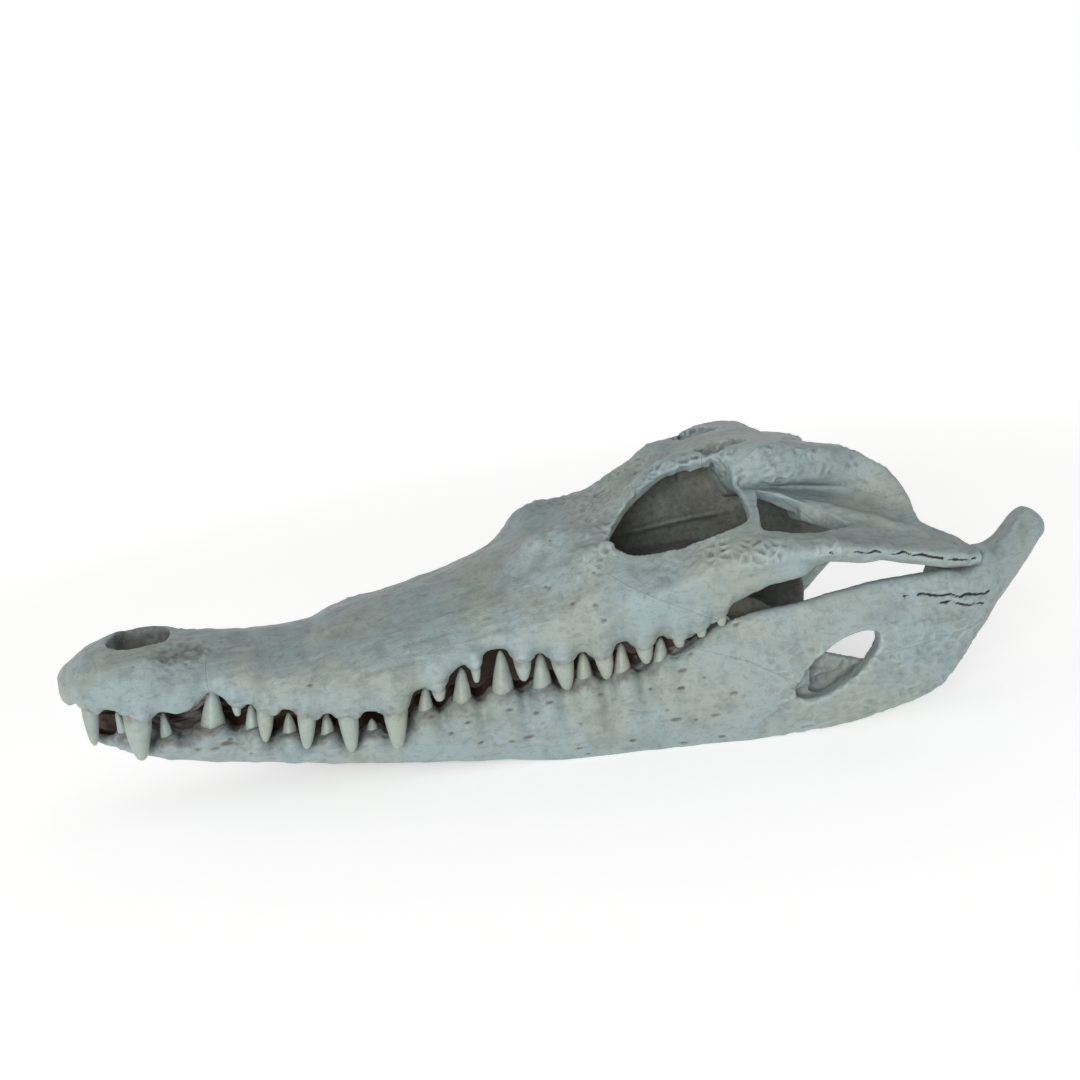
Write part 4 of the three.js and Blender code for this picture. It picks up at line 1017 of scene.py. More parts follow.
def upper_relief(p, n):
    """Heights in millimetres, stains with painted shade, and cracks of the upper skull. The height is the sum
    of lumps, streaks, the net with its dimples, ridges, knobs and tooth roots, less holes, pits, slits and
    cracks. Under the mouth's roof, on walls inside the skull and in the nostril the stain is deepened with
    painted shade, and the cracks are also painted dark as shade."""
    x, y, z = p.T
    a, f = np.abs(y), folded(p)
    level = margin(x)[:, 1]
    outside = smoothstep(n[:, 2], -0.5, -0.1) * smoothstep(z, level - 3, level + 1)
    top = smoothstep(n[:, 2], 0.1, 0.6)
    snout, front = window(x, *SNOUT) * outside, window(x, *FRONT) * outside
    holes = pitted(p * (0.6, 1, 1), *SNOUT_HOLES)
    height = layered(p, UPPER_LUMPS) + layered(p, UPPER_STREAKS) * snout
    height -= HOLE_DEPTH * holes * snout * (1 - 0.3 * top) + PIT_DEPTH * pitted(p, *FRONT_PITS) * front

    cheek_bone = along(f, CHEEK_NET, 6.5) * outside
    table = window(x, *TABLE_TOP_SPAN) * smoothstep(z, 51, 55) * (1 - smoothstep(n[:, 2], 0.8, 0.97))
    rims = np.maximum(along(f, EYE_RIM, 9), window(x, *BROWS) * smoothstep(z, 43, 48)) * outside
    region = np.clip(1.4 * cheek_bone + 0.8 * table + 0.8 * rims, 0, 1)
    net = netted(p, NET_CELL, 7)
    dimples = (1 - net) * smoothstep(noise(p, 5, 13), -0.6, 0.3)
    uneven = 0.8 + 0.3 * noise(p, 9, 15)
    height += (NET_RIDGE * net - DIMPLE_DEPTH * dimples - NET_LEVEL) * region * uneven

    crust = along(f, NOSE_HOLLOW, 6.5) * outside
    slits = np.max([along(f, path, 0.9) for path in FRONT_SLITS], axis=0)
    height += RIDGE_RISE * along(f, CHEEK_RIDGE, 5.5) - TROUGH_DEPTH * along(f, CHEEK_TROUGH, 4)
    height += EYE_RIM_RISE * along(f, EYE_RIM, 3.2) + LIP_RISE * along(f, NOSE_LIP, 1.4)
    height -= crust * (1.1 - 0.8 * noise(p, 1.6, 11)) + SLIT_DEPTH * slits
    knob_height, near_knob = knobs(p)
    height += knob_height + 0.3 * noise(p, 1.7, 9, (1, 5, 1)) * near_knob
    swell, rim = socket_swell(p, UPPER_TEETH, upper_seats, -1)
    height += UPPER_ROOT_SWELL * swell * outside * (1 - top) + UPPER_RIM_RISE * rim
    cracks = cracked(p, CHEEK_CRACKS, 12) * outside
    height -= CRACK_DEPTH * cracks

    # Painted shade with some brown stain: the roof of the mouth under the palate and the walls that face the
    # skull's hollow are darkened.
    under = smoothstep(-n[:, 2], 0.0, 0.5) * smoothstep(margin(x)[:, 0] - a, 1.5, 4) * window(x, *MOUTH_ROOF)
    inside = np.maximum(under * smoothstep(level + 13 - z, 0, 3), SKULL_INSIDE_STAIN_AND_SHADE * inside_skull(p, n))
    near_edge = smoothstep(level + 5 - z, 0, 6) * window(x, *TOOTH_EDGE)
    # Painted shade and brown stain inside the nostril: its inner walls and floor are darkened.
    in_nostril = window(x, *NOSTRIL_SPAN) * (1 - smoothstep(a, 13.5, 16)) * (z > 8.6)
    in_nostril *= np.maximum(smoothstep(-n[:, 1] * np.sign(y), 0.1, 0.5), smoothstep(24 - z, 0, 4))
    stain = 0.45 * near_edge * (0.5 + 0.5 * noise(p, 9, 10)) + 0.35 * rim + 1.0 * holes * snout
    stain += 0.75 * dimples ** 2 * region + 0.8 * slits + in_nostril
    stain += crust * (0.75 + 0.3 * noise(p, 2, 14)) + JOINT_STAIN_AND_SHADE * along(f, JOINT, 2.2)
    return height, np.maximum(np.clip(stain, 0, MOST_STAIN), MOUTH_STAIN_AND_SHADE * inside), cracks


# %% Texture of the lower jaw
LOWER_LUMPS = ((0.32, 13, 21, 1), (0.22, 6.5, 22, 1), (0.11, 3, 23, 1))
LOWER_STREAKS = ((0.15, 2.0, 24, 9), (0.09, 1.2, 25, 12))
JAW_STREAKED, JAW_HOLED, JAW_NETTED, JAW_RUTTED = (20, 262, 20), (16, 262, 8), (276, 356, 12), (255, 340, 16)
JAW_PATCH, JAW_MOUTH, JAW_TOOTH_EDGE = (322, 352, 8), (12, 262, 4), (0, 250)
JAW_SLITS = (3.6, 26, 1.0, 0.55)
JAW_SLIT_DEPTH, JAW_NET_DEPTH, RUT_DEPTH = 0.75, 0.7, 0.32
LOWER_ROOT_SWELL, LOWER_RIM_RISE = 0.8, 0.6
# Raises the stain value past its cap inside the mouth: brown stain deepened with painted shade.
JAW_MOUTH_STAIN_AND_SHADE = 1.4


def lower_relief(p, n):
    """Heights in millimetres, stains with painted shade, and cracks of the lower jaw. The height is the sum
    of lumps, streaks, net, ruts and tooth roots, less slits and cracks. Inside the mouth the stain is
    deepened with painted shade, and the cracks are also painted dark as shade."""
    x, y, z = p.T
    a, f = np.abs(y), folded(p)
    side = smoothstep(np.abs(n[:, 1]), 0.3, 0.7)
    height = layered(p, LOWER_LUMPS) + layered(p, LOWER_STREAKS) * window(x, *JAW_STREAKED)
    slits = pitted(p * (0.3, 1, 1), *JAW_SLITS) * window(x, *JAW_HOLED) * side
    rough = window(x, *JAW_NETTED) * smoothstep(-z, -2, 8) * side
    rutted = window(x, *JAW_RUTTED) * smoothstep(-z, 22, 30) * side
    patch = window(x, *JAW_PATCH) * window(z, -2, 14, 4) * side
    height += JAW_NET_DEPTH * (netted(p * (0.7, 1, 1), 4.4, 27) - 0.5) * rough - JAW_SLIT_DEPTH * slits
    height += RUT_DEPTH * noise(p, 2.2, 28, (8, 1, 1)) * rutted + 0.4 * noise(p, 1.9, 29) * patch
    swell, rim = socket_swell(p, LOWER_TEETH, lower_seats, 1)
    height += LOWER_ROOT_SWELL * swell + LOWER_RIM_RISE * rim
    cracks = cracked(p, JAW_CRACKS, 31) * smoothstep(-n[:, 1], 0, 0.4)
    height -= CRACK_DEPTH * cracks

    # Painted shade with some brown stain inside the mouth: the shelf, the inner faces and the midline of the
    # jaw are darkened.
    line = festooned_jaw(x)
    shelf = smoothstep(line[:, 0] - a, 6.5, 9) * smoothstep(z - line[:, 1] + 9, 0, 3)
    lingual = smoothstep(-n[:, 1] * np.sign(y), 0.1, 0.6)
    middle = 1 - smoothstep(a, 9, 12)
    inside = np.max([shelf, lingual, middle], axis=0) * window(x, *JAW_MOUTH)
    near_rim = smoothstep(z - line[:, 1] + 7, 0, 6) * window(x, *JAW_TOOTH_EDGE)
    stain = 0.45 * rim + 1.2 * slits + 0.3 * patch * smoothstep(noise(p, 5, 32), 0, 0.5)
    stain += near_rim * (0.35 + 0.25 * noise(p, 6, 30) + 0.25 * (1 - smoothstep(x, 60, 110)))
    stain += JOINT_STAIN_AND_SHADE * along(f, JOINT, 2.2)
    return height, np.maximum(np.clip(stain, 0, MOST_STAIN), JAW_MOUTH_STAIN_AND_SHADE * inside), cracks


# %% Moving and marking the points
def stored(mesh, **values):
    """Keeps one number per point under each name, where the materials can read it."""
    for name, numbers in values.items():
        kept = mesh.attributes.new(name, "FLOAT", "POINT")
        kept.data.foreach_set("value", numbers.astype(np.float32))


def textured(mesh, relief):
    """Moves every point by its height along its normal, and stores how hollow it is, its stain with painted
    shade, and its cracks, which are painted dark as shade. Hollow is how far a smoothed copy of the surface
    stands in front of a point."""
    p, n = points_of(mesh), points_of(mesh, "normals")
    height, stain, soot = relief(p, n)
    set_points(mesh, p + n * height[:, None])
    p, n = points_of(mesh), points_of(mesh, "normals")
    soft = points_of(evaluated(mesh.copy(), ("SMOOTH", {"factor": 0.5, "iterations": 14})))
    hollow_depth = ((soft - p) * n).sum(axis=1)
    stored(mesh, hollow=hollow_depth, stain=stain, soot=soot)
    print("relief", round(float(height.min()), 2), "to", round(float(height.max()), 2), "mm; hollow up to",
          round(float(hollow_depth.max()), 2))
    return mesh


# %% [markdown]
# No skull is quite even. On the animal's right the table and the jaw's spur sit a little lower.

# %% Growth uneven from side to side
def settled(mesh, start, end, drop, back):
    """Lowers and pulls forward what lies far right and behind start: by drop and back times the share."""
    p = points_of(mesh)
    share = smoothstep(p[:, 0], start, end) * np.clip((p[:, 1] + 38) / 76, 0, 1)
    p[:, 2] -= drop * share
    p[:, 0] -= back * share
    set_points(mesh, p)


def dipped(mesh, start, end, drop):
    """Lowers the right brow between start and end, by drop times three soft steps in x, y and z."""
    p = points_of(mesh)
    where = window(p[:, 0], start, end, 12) * smoothstep(p[:, 1], -12, 22) * smoothstep(p[:, 2], 32, 46)
    p[:, 2] -= drop * where
    set_points(mesh, p)


TABLE_DROP, BROW_DROP, SPUR_DROP, SPUR_BACK = 4.5, 2.6, 5.0, 6.0
settled(upper, 292, 312, TABLE_DROP, 0)
dipped(upper, 234, 246, BROW_DROP)
settled(lower, 352, 385, SPUR_DROP, SPUR_BACK)
upper = textured(upper, upper_relief)
lower = textured(lower, lower_relief)
resting = points_of(lower)
resting[:, 2] = np.maximum(resting[:, 2], JAW_REST_LEVEL)
set_points(lower, resting)
print("textured;", round(time.time() - STARTED, 1), "s")

# %% [markdown]
# ## Parting the bones
#
# Every suture is a wavy line. Each bone is the part of the whole that lies inside its outline; the rest of
# the skull loses the same outline, made a hair wider, so that a fine dark gap is left along the suture.

# %% Sutures
SUTURE = 0.08
SUTURE_WAVE = 0.5
INSIDE_CHEEK, BESIDE_MIDLINE = 20, 1
NASAL = [[52, 0], [58, 5], [70, 8], [120, 10], [165, 10.5], [190, 8], [206, 0]]
FRONTAL = [[197, 0], [206.5, 6], [222, 11], [238, 14], [240, 40], [262, 40], [271, 16], [277, 10], [277, 0]]
PREMAXILLA = [[-20, -FAR], [60, -FAR], [60, -20], [68, -8], [68, 8], [60, 20], [60, FAR], [-20, FAR]]
PREFRONTAL = [[187, 12], [189, 20], [206, 29], [222, 34], [238, 34], [245, 14], [222, 4], [200, 2]]
LACRIMAL = [[174, 24], [184, 34], [207, 43], [223, 50], [229, 42], [222, 30], [200, 22], [187, 18]]
JUGAL = [
    [212, 38], [224, 29], [245, 17], [262, 6], [304, 6], [302, 39], [292, 48], [262, 50], [240, 41],
    [222, 43],
]
TABLE = [
    [260, 51], [290, 50.5], [304, 50.5], [322, 46.5], [333, 42], [345, 44], [345, 90], [260, 90],
]
PARIETAL = [[268, 0], [272, 17], [285, 17], [296, 18], [305, 22], [331, 25], [331, 0]]
POSTORBITAL = [[255, 10], [292, 10], [294, 60], [255, 60]]
QUADRATOJUGAL = [[298, 62.5], [312, 64], [335, 70], [351, 76], [351, FAR], [298, FAR]]
MAXILLA = [[50, -1], [268, -1], [268, FAR], [50, FAR]]
DENTARY = [
    [-20, -60], [248, -60], [266, -33], [280.5, -23.5], [283, -19], [266, -8], [240, 1], [226, 30], [-20, 30],
]
ANGULAR = [
    [240, -60], [420, -60], [420, 8], [372, 3], [352, -7], [311, -12], [300, -20], [284, -23], [262, -32],
]
ARTICULAR = [[340, 40], [340, 69], [352, 72.5], [366, 69], [380, 66], [420, 66], [420, 40]]


def wavy(outline, wave, spacing=1.2):
    """The outline walked in small steps, each moved sideways by smooth noise of its place."""
    corners = np.array(outline, float)
    ahead = np.roll(corners, -1, axis=0)
    count = np.maximum(np.ceil(np.linalg.norm(ahead - corners, axis=1) / spacing), 1).astype(int)
    count = np.minimum(count, 160)
    side = np.repeat(np.arange(len(corners)), count)
    share = np.concatenate([np.arange(c) / c for c in count])[:, None]
    line = corners[side] * (1 - share) + ahead[side] * share
    flat = np.concatenate([line, np.zeros((len(line), 1))], axis=1)
    shift = np.stack([noise(flat, 2.6, 41 + k) for k in range(2)], axis=1)
    inner = (np.abs(line) < 90).all(axis=1) & (np.abs(line[:, 1]) > 0.5)
    return line + wave * shift * inner[:, None]


def widened(line, by):
    """A closed line moved outward by a distance: each point along the normal of its neighbours' chord."""
    chord = np.roll(line, -1, axis=0) - np.roll(line, 1, axis=0)
    normal = np.stack([chord[:, 1], -chord[:, 0]], axis=1) / np.linalg.norm(chord, axis=1)[:, None]
    ahead = np.roll(line, -1, axis=0)
    area = (line[:, 0] * ahead[:, 1] - line[:, 1] * ahead[:, 0]).sum()
    return line + normal * by * np.sign(area)


def parted(body, outline, low, high, axes=PLAN, wave=SUTURE_WAVE):
    """(what lies inside the outline, what is left outside it)."""
    line = wavy(outline, wave)
    inside = combine(body, block(line, low, high, axes), "INTERSECT")
    outside = combine(body, block(widened(line, SUTURE), low - SUTURE, high + SUTURE, axes), "DIFFERENCE")
    return inside, outside


def turned_over(outline):
    """A plan outline on the other side of the midline."""
    return [[x, -y] for x, y in outline]


def symmetric(outline):
    """A plan outline from its right half, whose first and last corners lie on the midline."""
    return outline + turned_over(outline[1:-1])[::-1]


def plan_of(side):
    """Gives what lays a plan outline on one side of the midline."""
    return turned_over if side == "left" else list


def reach_of(side, start):
    """The stretch along y from start to far out on one side, as (low, high)."""
    return (start, FAR) if side == "right" else (-FAR, -start)


def halves(body):
    """(right, left) of a body parted along the midline."""
    line = np.array([[-20, 0], [420, 0], [420, FAR], [-20, FAR]], float)
    right = combine(body, block(line + (0, SUTURE / 2), -FAR, FAR, PLAN), "INTERSECT")
    left = combine(body, block(line * (1, -1) - (0, SUTURE / 2), -FAR, FAR, PLAN), "INTERSECT")
    return right, left


bones = {}
bones["nasals"], rest = parted(upper, symmetric(NASAL), 15, FAR)
premaxillae, rest = parted(rest, PREMAXILLA, -FAR, FAR)
bones["frontal"], rest = parted(rest, symmetric(FRONTAL), 34, FAR)
bones["parietal"], rest = parted(rest, symmetric(PARIETAL), -FAR, FAR)
bones["premaxilla_right"], bones["premaxilla_left"] = halves(premaxillae)
sides = dict(zip(("right", "left"), halves(rest)))
for side, rest in sides.items():
    plan = plan_of(side)
    bones[f"prefrontal_{side}"], rest = parted(rest, plan(PREFRONTAL), 27, FAR)
    bones[f"lacrimal_{side}"], rest = parted(rest, plan(LACRIMAL), 22, FAR)
    bones[f"jugal_{side}"], rest = parted(rest, JUGAL, *reach_of(side, INSIDE_CHEEK), SIDE)
    table_side, rest = parted(rest, TABLE, *reach_of(side, BESIDE_MIDLINE), SIDE)
    postorbital, squamosal = parted(table_side, plan(POSTORBITAL), -FAR, FAR)
    bones[f"postorbital_{side}"], bones[f"squamosal_{side}"] = postorbital, squamosal
    bones[f"maxilla_{side}"], rest = parted(rest, plan(MAXILLA), -FAR, FAR)
    quadratojugal, quadrate = parted(rest, plan(QUADRATOJUGAL), -FAR, FAR)
    bones[f"quadratojugal_{side}"], bones[f"quadrate_{side}"] = quadratojugal, quadrate
for side, rest in zip(("right", "left"), halves(lower)):
    plan, reach = plan_of(side), reach_of(side, -BESIDE_MIDLINE)
    bones[f"dentary_{side}"], rest = parted(rest, DENTARY, *reach, SIDE)
    bones[f"articular_{side}"], rest = parted(rest, plan(ARTICULAR), -FAR, FAR)
    bones[f"angular_{side}"], bones[f"surangular_{side}"] = parted(rest, ANGULAR, *reach, SIDE)
for name, mesh in sorted(bones.items()):
    print(f"{name:20s} {len(mesh.polygons)} faces")
print("parted;", round(time.time() - STARTED, 1), "s")

# %% [markdown]
# ## Bones inside
#
# Through the openings one sees the braincase with its wall between the eyes, the tube of the palate, the
# pterygoid plate and the bars that brace it against the cheeks. They are simpler, so each is skinned, joined
# and softened on its own.

# %% Inner bones
INNER_VOXEL = 0.9
INNER_LUMPS = ((0.4, 11, 51, 1), (0.2, 4, 52, 1))
INNER_PITS = (9, 53, 1.2, 0.4)
# In front of this the inner bones are painted with shade, where the skull hides them.
HIDDEN_UNTIL = (304, 320)                   # behind this the braincase shows at the back of the skull


def oval_section(table):
    """Upright ovals from stations [x, half width, low z, high z]: (w cos a, middle + h sin a)."""
    line = ridge(table)

    def section(x):
        """The oval at each x."""
        half, low, high = line(x).T
        turn = 2 * np.pi * np.arange(16) / 16
        y = half[:, None] * np.cos(turn)
        z = ((low + high) / 2)[:, None] + ((high - low) / 2)[:, None] * np.sin(turn)
        return np.stack([y, z], axis=2)

    return section


def wing_rings(stations, corners, count=24):
    """Rings square to y, from stations [y, ...] carried by Catmull-Rom curves; corners gives each ring."""
    table = np.array(stations, float)
    t = np.linspace(0, len(table) - 1, count)
    values = [curve_through(table[:, k], t) for k in range(table.shape[1])]
    return skin(smooth_ring(corners(*values), 4))


def wing_corners(y, front, back, low, high):
    """Rings of [x, y, z] round a wing of the braincase, from its front and back and its low and high z."""
    ring = [(front, low), (front, high - 2), (front + 3, high), (back, high - 3), (back - 1, low)]
    return np.stack([np.stack([a, y, b], axis=1) for a, b in ring], axis=1)


def plate_corners(y, front, back, middle, thick):
    """Rings of [x, y, z] round a flat plate that thins to an edge in front and behind."""
    ring = [(front, middle), (front + 3, middle + thick / 2), (back - 4, middle + thick / 2),
            (back, middle), (back - 4, middle - thick / 2), (front + 3, middle - thick / 2)]
    return np.stack([np.stack([a, y, b], axis=1) for a, b in ring], axis=1)


def palatine_section(x):
    """Corners of the palate's tube: a flat oval, wider below."""
    half, low, high = ridge([
        [210, 13, 5.5, 17], [222, 10, 5, 17], [240, 9, 5, 17.5], [262, 11, 4, 18], [270, 13, 2, 18],
    ])(x).T
    pairs = [(-half, low + 2), (-half + 3, low), (half - 3, low), (half, low + 2), (0.8 * half, high - 2),
             (0.4 * half, high), (-0.4 * half, high), (-0.8 * half, high - 2)]
    return corners_of(pairs)


braincase_core = loft(262.0, 339.0, oval_section([
    [262, 5, 36, 64], [276, 9, 24, 64], [292, 13, 13, 64], [306, 15, 7.5, 62], [318, 17, 5, 58],
    [326, 17, 10, 54], [331, 9, 25, 43], [339, 6, 28.5, 39],
]), 2.0)
eye_wall = loft(213.0, 280.0, oval_section([
    [213, 4, 12, 40], [225, 3, 12, 46], [240, 2.6, 13, 54], [262, 4.5, 15, 60], [280, 8, 16, 62],
]), 2.0)
eye_ridge = bar([[230, 2, 34, 1, 1], [246, 3, 36, 1.8, 1.1], [262, 5, 37.5, 2.2, 1.3], [284, 9, 39, 3, 2]])
eye_floor = loft(211.0, 282.0, oval_section([
    [211, 10, 9, 20], [225, 17, 8, 25], [245, 21, 6, 28], [265, 22, 4, 28], [282, 18, 3, 24],
]), 2.0)
wing = wing_rings([
    [4, 314, 326, 28, 58], [22, 319, 329, 28, 51], [36, 327, 335.5, 28, 43], [54, 337, 343, 28.5, 35.5],
], wing_corners)
plate = wing_rings([
    [-1, 270.3, 312, 4, 11], [14, 270.3, 309, 1.5, 9], [26, 271, 304, -3, 6], [37, 272, 300, -9, 6],
    [46, 276, 295, -15.5, 7],
], plate_corners)
brace = bar([
    [288, 44.5, -9, 2.2, 6], [283, 47, -3, 2.3, 6.5], [275, 49.3, 5, 2.5, 6], [266, 52, 11, 2.8, 5],
    [259, 54.5, 14.5, 2.6, 4.5],
])
inner_shapes = {
    "braincase": joined(
        braincase_core, eye_wall, eye_floor, eye_ridge, mirrored(eye_ridge), wing, mirrored(wing)),
    "palatines": loft(210.0, 270.0, palatine_section, 2.0),
    "pterygoid": joined(plate, mirrored(plate)),
    "ectopterygoid_right": brace,
    "ectopterygoid_left": mirrored(brace),
}


def inner_relief(p, n):
    """Gentle lumps with a few pits, a faint stain everywhere and painted shade where the skull hides them,
    and no cracks. The normals are taken only because textured passes them to every relief."""
    height = layered(p, INNER_LUMPS) - 0.5 * pitted(p, *INNER_PITS)
    # Painted shade: the inner bones darken where the skull hides them.
    shade_where_hidden = 1 - smoothstep(p[:, 0], *HIDDEN_UNTIL)
    return height, np.clip(0.1 + 0.65 * shade_where_hidden + 0.08 * noise(p, 10, 54), 0, 1), np.zeros(len(p))


inner_bones = {
    name: textured(remeshed(mesh, INNER_VOXEL, 6), inner_relief) for name, mesh in inner_shapes.items()
}
print("inner bones;", round(time.time() - STARTED, 1), "s")

# %% [markdown]
# ## Teeth
#
# Each tooth is a cone that curves a little inward, with two weak keels. All teeth of one jaw side are one
# mesh, since they share one finish and never move apart.

# %% Teeth
def gathered(meshes):
    """Several meshes as one, without joining their surfaces."""
    whole = bmesh.new()
    for mesh in meshes:
        whole.from_mesh(mesh)
    result = bpy.data.meshes.new("gathered")
    whole.to_mesh(result)
    whole.free()
    return result


def worn(mesh, seed):
    """Fine lengthwise ribs and faint lumps, along the normals."""
    p, n = points_of(mesh), points_of(mesh, "normals")
    height = 0.10 * noise(p, 1.0, seed, (1, 1, 9)) + 0.12 * noise(p, 3.0, seed + 1)
    set_points(mesh, p + n * height[:, None])
    return mesh


tooth_meshes = {}
for row, teeth, row_seats, direction, flare in (
    ("upper", UPPER_TEETH, upper_seats, -1, UPPER_FLARE), ("lower", LOWER_TEETH, lower_seats, 1, LOWER_FLARE),
):
    right = gathered(tooth_row(teeth, row_seats, direction, flare))
    p = points_of(right)
    nearest = np.abs(p[:, :1] - row_seats[None, :, 0]).argmin(axis=1)
    length_along = direction * (p[:, 2] - row_seats[nearest, 2]) / teeth[nearest, 1]
    stain = np.clip(0.7 - 1.5 * length_along, 0, 1)
    stored(right, hollow=0 * stain, stain=stain, soot=0 * stain)
    tooth_meshes[f"teeth_{row}_left"] = worn(mirrored(right), 63)
    tooth_meshes[f"teeth_{row}_right"] = worn(right, 61)
print("teeth:", {name: len(mesh.polygons) for name, mesh in tooth_meshes.items()})

# %% [markdown]
# ## Material shorthand
#
# A material is arithmetic on sockets. This small class lets that arithmetic be written as arithmetic.

# %% The Wire class
class Wire:
    """One output socket of a material, usable in sums and products like a number."""

    def __init__(self, tree, socket):
        self.tree, self.socket = tree, socket

    def node(self, kind, settings=None, out=0, **values):
        """Adds a node of a type: settings first, then each named input is given a value or a link."""
        return new_node(self.tree, kind, settings, out, **values)

    def maths(self, operation, *others, reflected=False):
        """Adds a Math node of this and the other terms, in turned order when Python reflects them."""
        made = self.tree.nodes.new("ShaderNodeMath")
        made.operation = operation
        terms = [self, *others]
        for slot, term in zip(made.inputs, reversed(terms) if reflected else terms):
            plug(self.tree, slot, term)
        return Wire(self.tree, made.outputs[0])

    def __add__(self, other): return self.maths("ADD", other)
    def __radd__(self, other): return self.maths("ADD", other)
    def __sub__(self, other): return self.maths("SUBTRACT", other)
    def __rsub__(self, other): return self.maths("SUBTRACT", other, reflected=True)
    def __mul__(self, other): return self.maths("MULTIPLY", other)
    def __rmul__(self, other): return self.maths("MULTIPLY", other)

    def between(self, low, high):
        """0 at low, 1 at high, smooth between."""
        return self.node("ShaderNodeMapRange", {"interpolation_type": "SMOOTHSTEP"}, Value=self,
                         **{"From Min": low, "From Max": high})

    def mix(self, start, end):
        """The colour start where this is 0, end where it is 1."""
        made = self.tree.nodes.new("ShaderNodeMix")
        made.data_type = "RGBA"
        plug(self.tree, made.inputs["Factor"], self)
        plug(self.tree, made.inputs[6], start)
        plug(self.tree, made.inputs[7], end)
        return Wire(self.tree, made.outputs[2])


def plug(tree, slot, value):
    """Links a Wire to an input, or sets the input's own value."""
    if isinstance(value, Wire):
        tree.links.new(value.socket, slot)
    elif slot.type == "RGBA":
        slot.default_value = (*value, 1)
    else:
        slot.default_value = value


def new_node(tree, kind, settings=None, out=0, **values):
    """Adds a node of a type to a tree, sets it up, feeds its named inputs and gives the chosen output."""
    made = tree.nodes.new(kind)
    for name, value in (settings or {}).items():
        setattr(made, name, value)
    for name, value in values.items():
        plug(tree, made.inputs[name], value)
    return Wire(tree, made.outputs[out])


def srgb(*byte):
    """A colour given as eyes name it (0 to 255 each), as light: ((c + 0.055) / 1.055)^2.4."""
    return tuple(((c / 255 + 0.055) / 1.055) ** 2.4 if c > 10 else c / 255 / 12.92 for c in byte)


# %% [markdown]
# ## Bone, inner bone and tooth
#
# Old bone is a pale grey green with cream and bluish clouds. The stored hollow darkens the colour as painted
# shade, and ridges are lightened as a painted highlight. Around the teeth it is stained brown; inside the
# mouth and skull that stain is deepened with painted shade, and cracks are painted near black as shade.

# %% Materials
# How much of the stain's red, green and blue is left in the deepest stain and painted shade inside the mouth
# and skull, and how much lighter ridges are painted, as a painted highlight.
DEEP_STAIN_AND_SHADE = (0.42, 0.27, 0.22)
RIDGE_PAINTED_LIGHT = 1.45
# Near black painted along the cracks: painted shade inside them.
CRACK_SHADE_COLOUR = (24, 24, 26)
BONE_SPECULAR = 0.35
BUMP_STRENGTH, BUMP_HEIGHT = 0.8, 0.0006


def bone_material(name, light, deep, warm, stain, rough, grain=1.0):
    """Colour = streaky clouds between light and warm, darkened in hollows as painted shade, lightened on
    ridges as a painted highlight, browned by stain and painted shade, blackened along cracks as painted
    shade; a fine bump of grain."""
    material = bpy.data.materials.new(name)
    material.use_nodes = True
    tree = material.node_tree
    shader = tree.nodes["Principled BSDF"]
    place = new_node(tree, "ShaderNodeTexCoord", None, 3)
    stretched = new_node(tree, "ShaderNodeMapping", None, 0, Vector=place, Scale=(0.22, 1, 1))
    hollow_wire, stain_wire, soot_wire = (
        new_node(tree, "ShaderNodeAttribute", {"attribute_name": kind}, 2)
        for kind in ("hollow", "stain", "soot"))

    def clouds(scale, detail=4.0, coarse=0.6, where=place):
        """A noise texture with so many clouds to a metre."""
        return place.node("ShaderNodeTexNoise", None, 0, Vector=where, Scale=scale, Detail=detail,
                          Roughness=coarse)

    big, middle, small, fine = clouds(26.0, 5.0), clouds(110.0), clouds(420.0), clouds(1500.0, 2.0)
    streaks = clouds(520.0, 4.0, 0.65, stretched)
    colour = (big.between(0.38, 0.64) * 0.9).mix(light, warm)
    colour = (middle.between(0.45, 0.7) * 0.35).mix(colour, deep)
    colour = (streaks.between(0.5, 0.7) * 0.35).mix(colour, deep)
    colour = (small.between(0.52, 0.7) * 0.3).mix(colour, deep)
    # Painted shade: hollows darken toward the stain colour.
    painted_hollow_shade = (hollow_wire + (fine - 0.5) * 0.08).between(0.02, 0.55)
    colour = (painted_hollow_shade * 0.55).mix(colour, stain)
    # Painted highlight: ridges are lightened.
    painted_ridge_light = (0 - hollow_wire).between(0.03, 0.4)
    colour = (painted_ridge_light * 0.6).mix(colour, tuple(min(1, c * RIDGE_PAINTED_LIGHT) for c in light))
    # Brown stain, and painted shade where the stored value is raised inside the mouth and skull.
    browned_and_shaded = (stain_wire + (small - 0.5) * 0.7).between(0.22, 1.0)
    colour = (browned_and_shaded * 0.66).mix(colour, stain)
    # Painted shade: the deepest insides of the mouth and skull go a darker brown.
    deepest_stain_and_shade = tuple(share * c for share, c in zip(DEEP_STAIN_AND_SHADE, stain))
    colour = (stain_wire.between(0.85, 1.35) * 0.9).mix(colour, deepest_stain_and_shade)
    # Painted shade: the cracks go near black.
    colour = (soot_wire + (small - 0.5) * 0.6).between(0.35, 0.75).mix(colour, srgb(*CRACK_SHADE_COLOUR))
    plug(tree, shader.inputs["Base Color"], colour)
    plug(tree, shader.inputs["Roughness"], (small - 0.5) * 0.3 + painted_hollow_shade * 0.15 + rough)
    height = small * 0.5 + streaks * 0.5 + fine * 0.3
    bump = new_node(tree, "ShaderNodeBump", None, 0, Height=height, Strength=BUMP_STRENGTH * grain,
                    Distance=BUMP_HEIGHT)
    plug(tree, shader.inputs["Normal"], bump)
    shader.inputs["Specular IOR Level"].default_value = BONE_SPECULAR
    return material


bone = bone_material("bone", srgb(140, 156, 158), srgb(93, 105, 104), srgb(146, 154, 146),
                     srgb(80, 63, 46), 0.42)
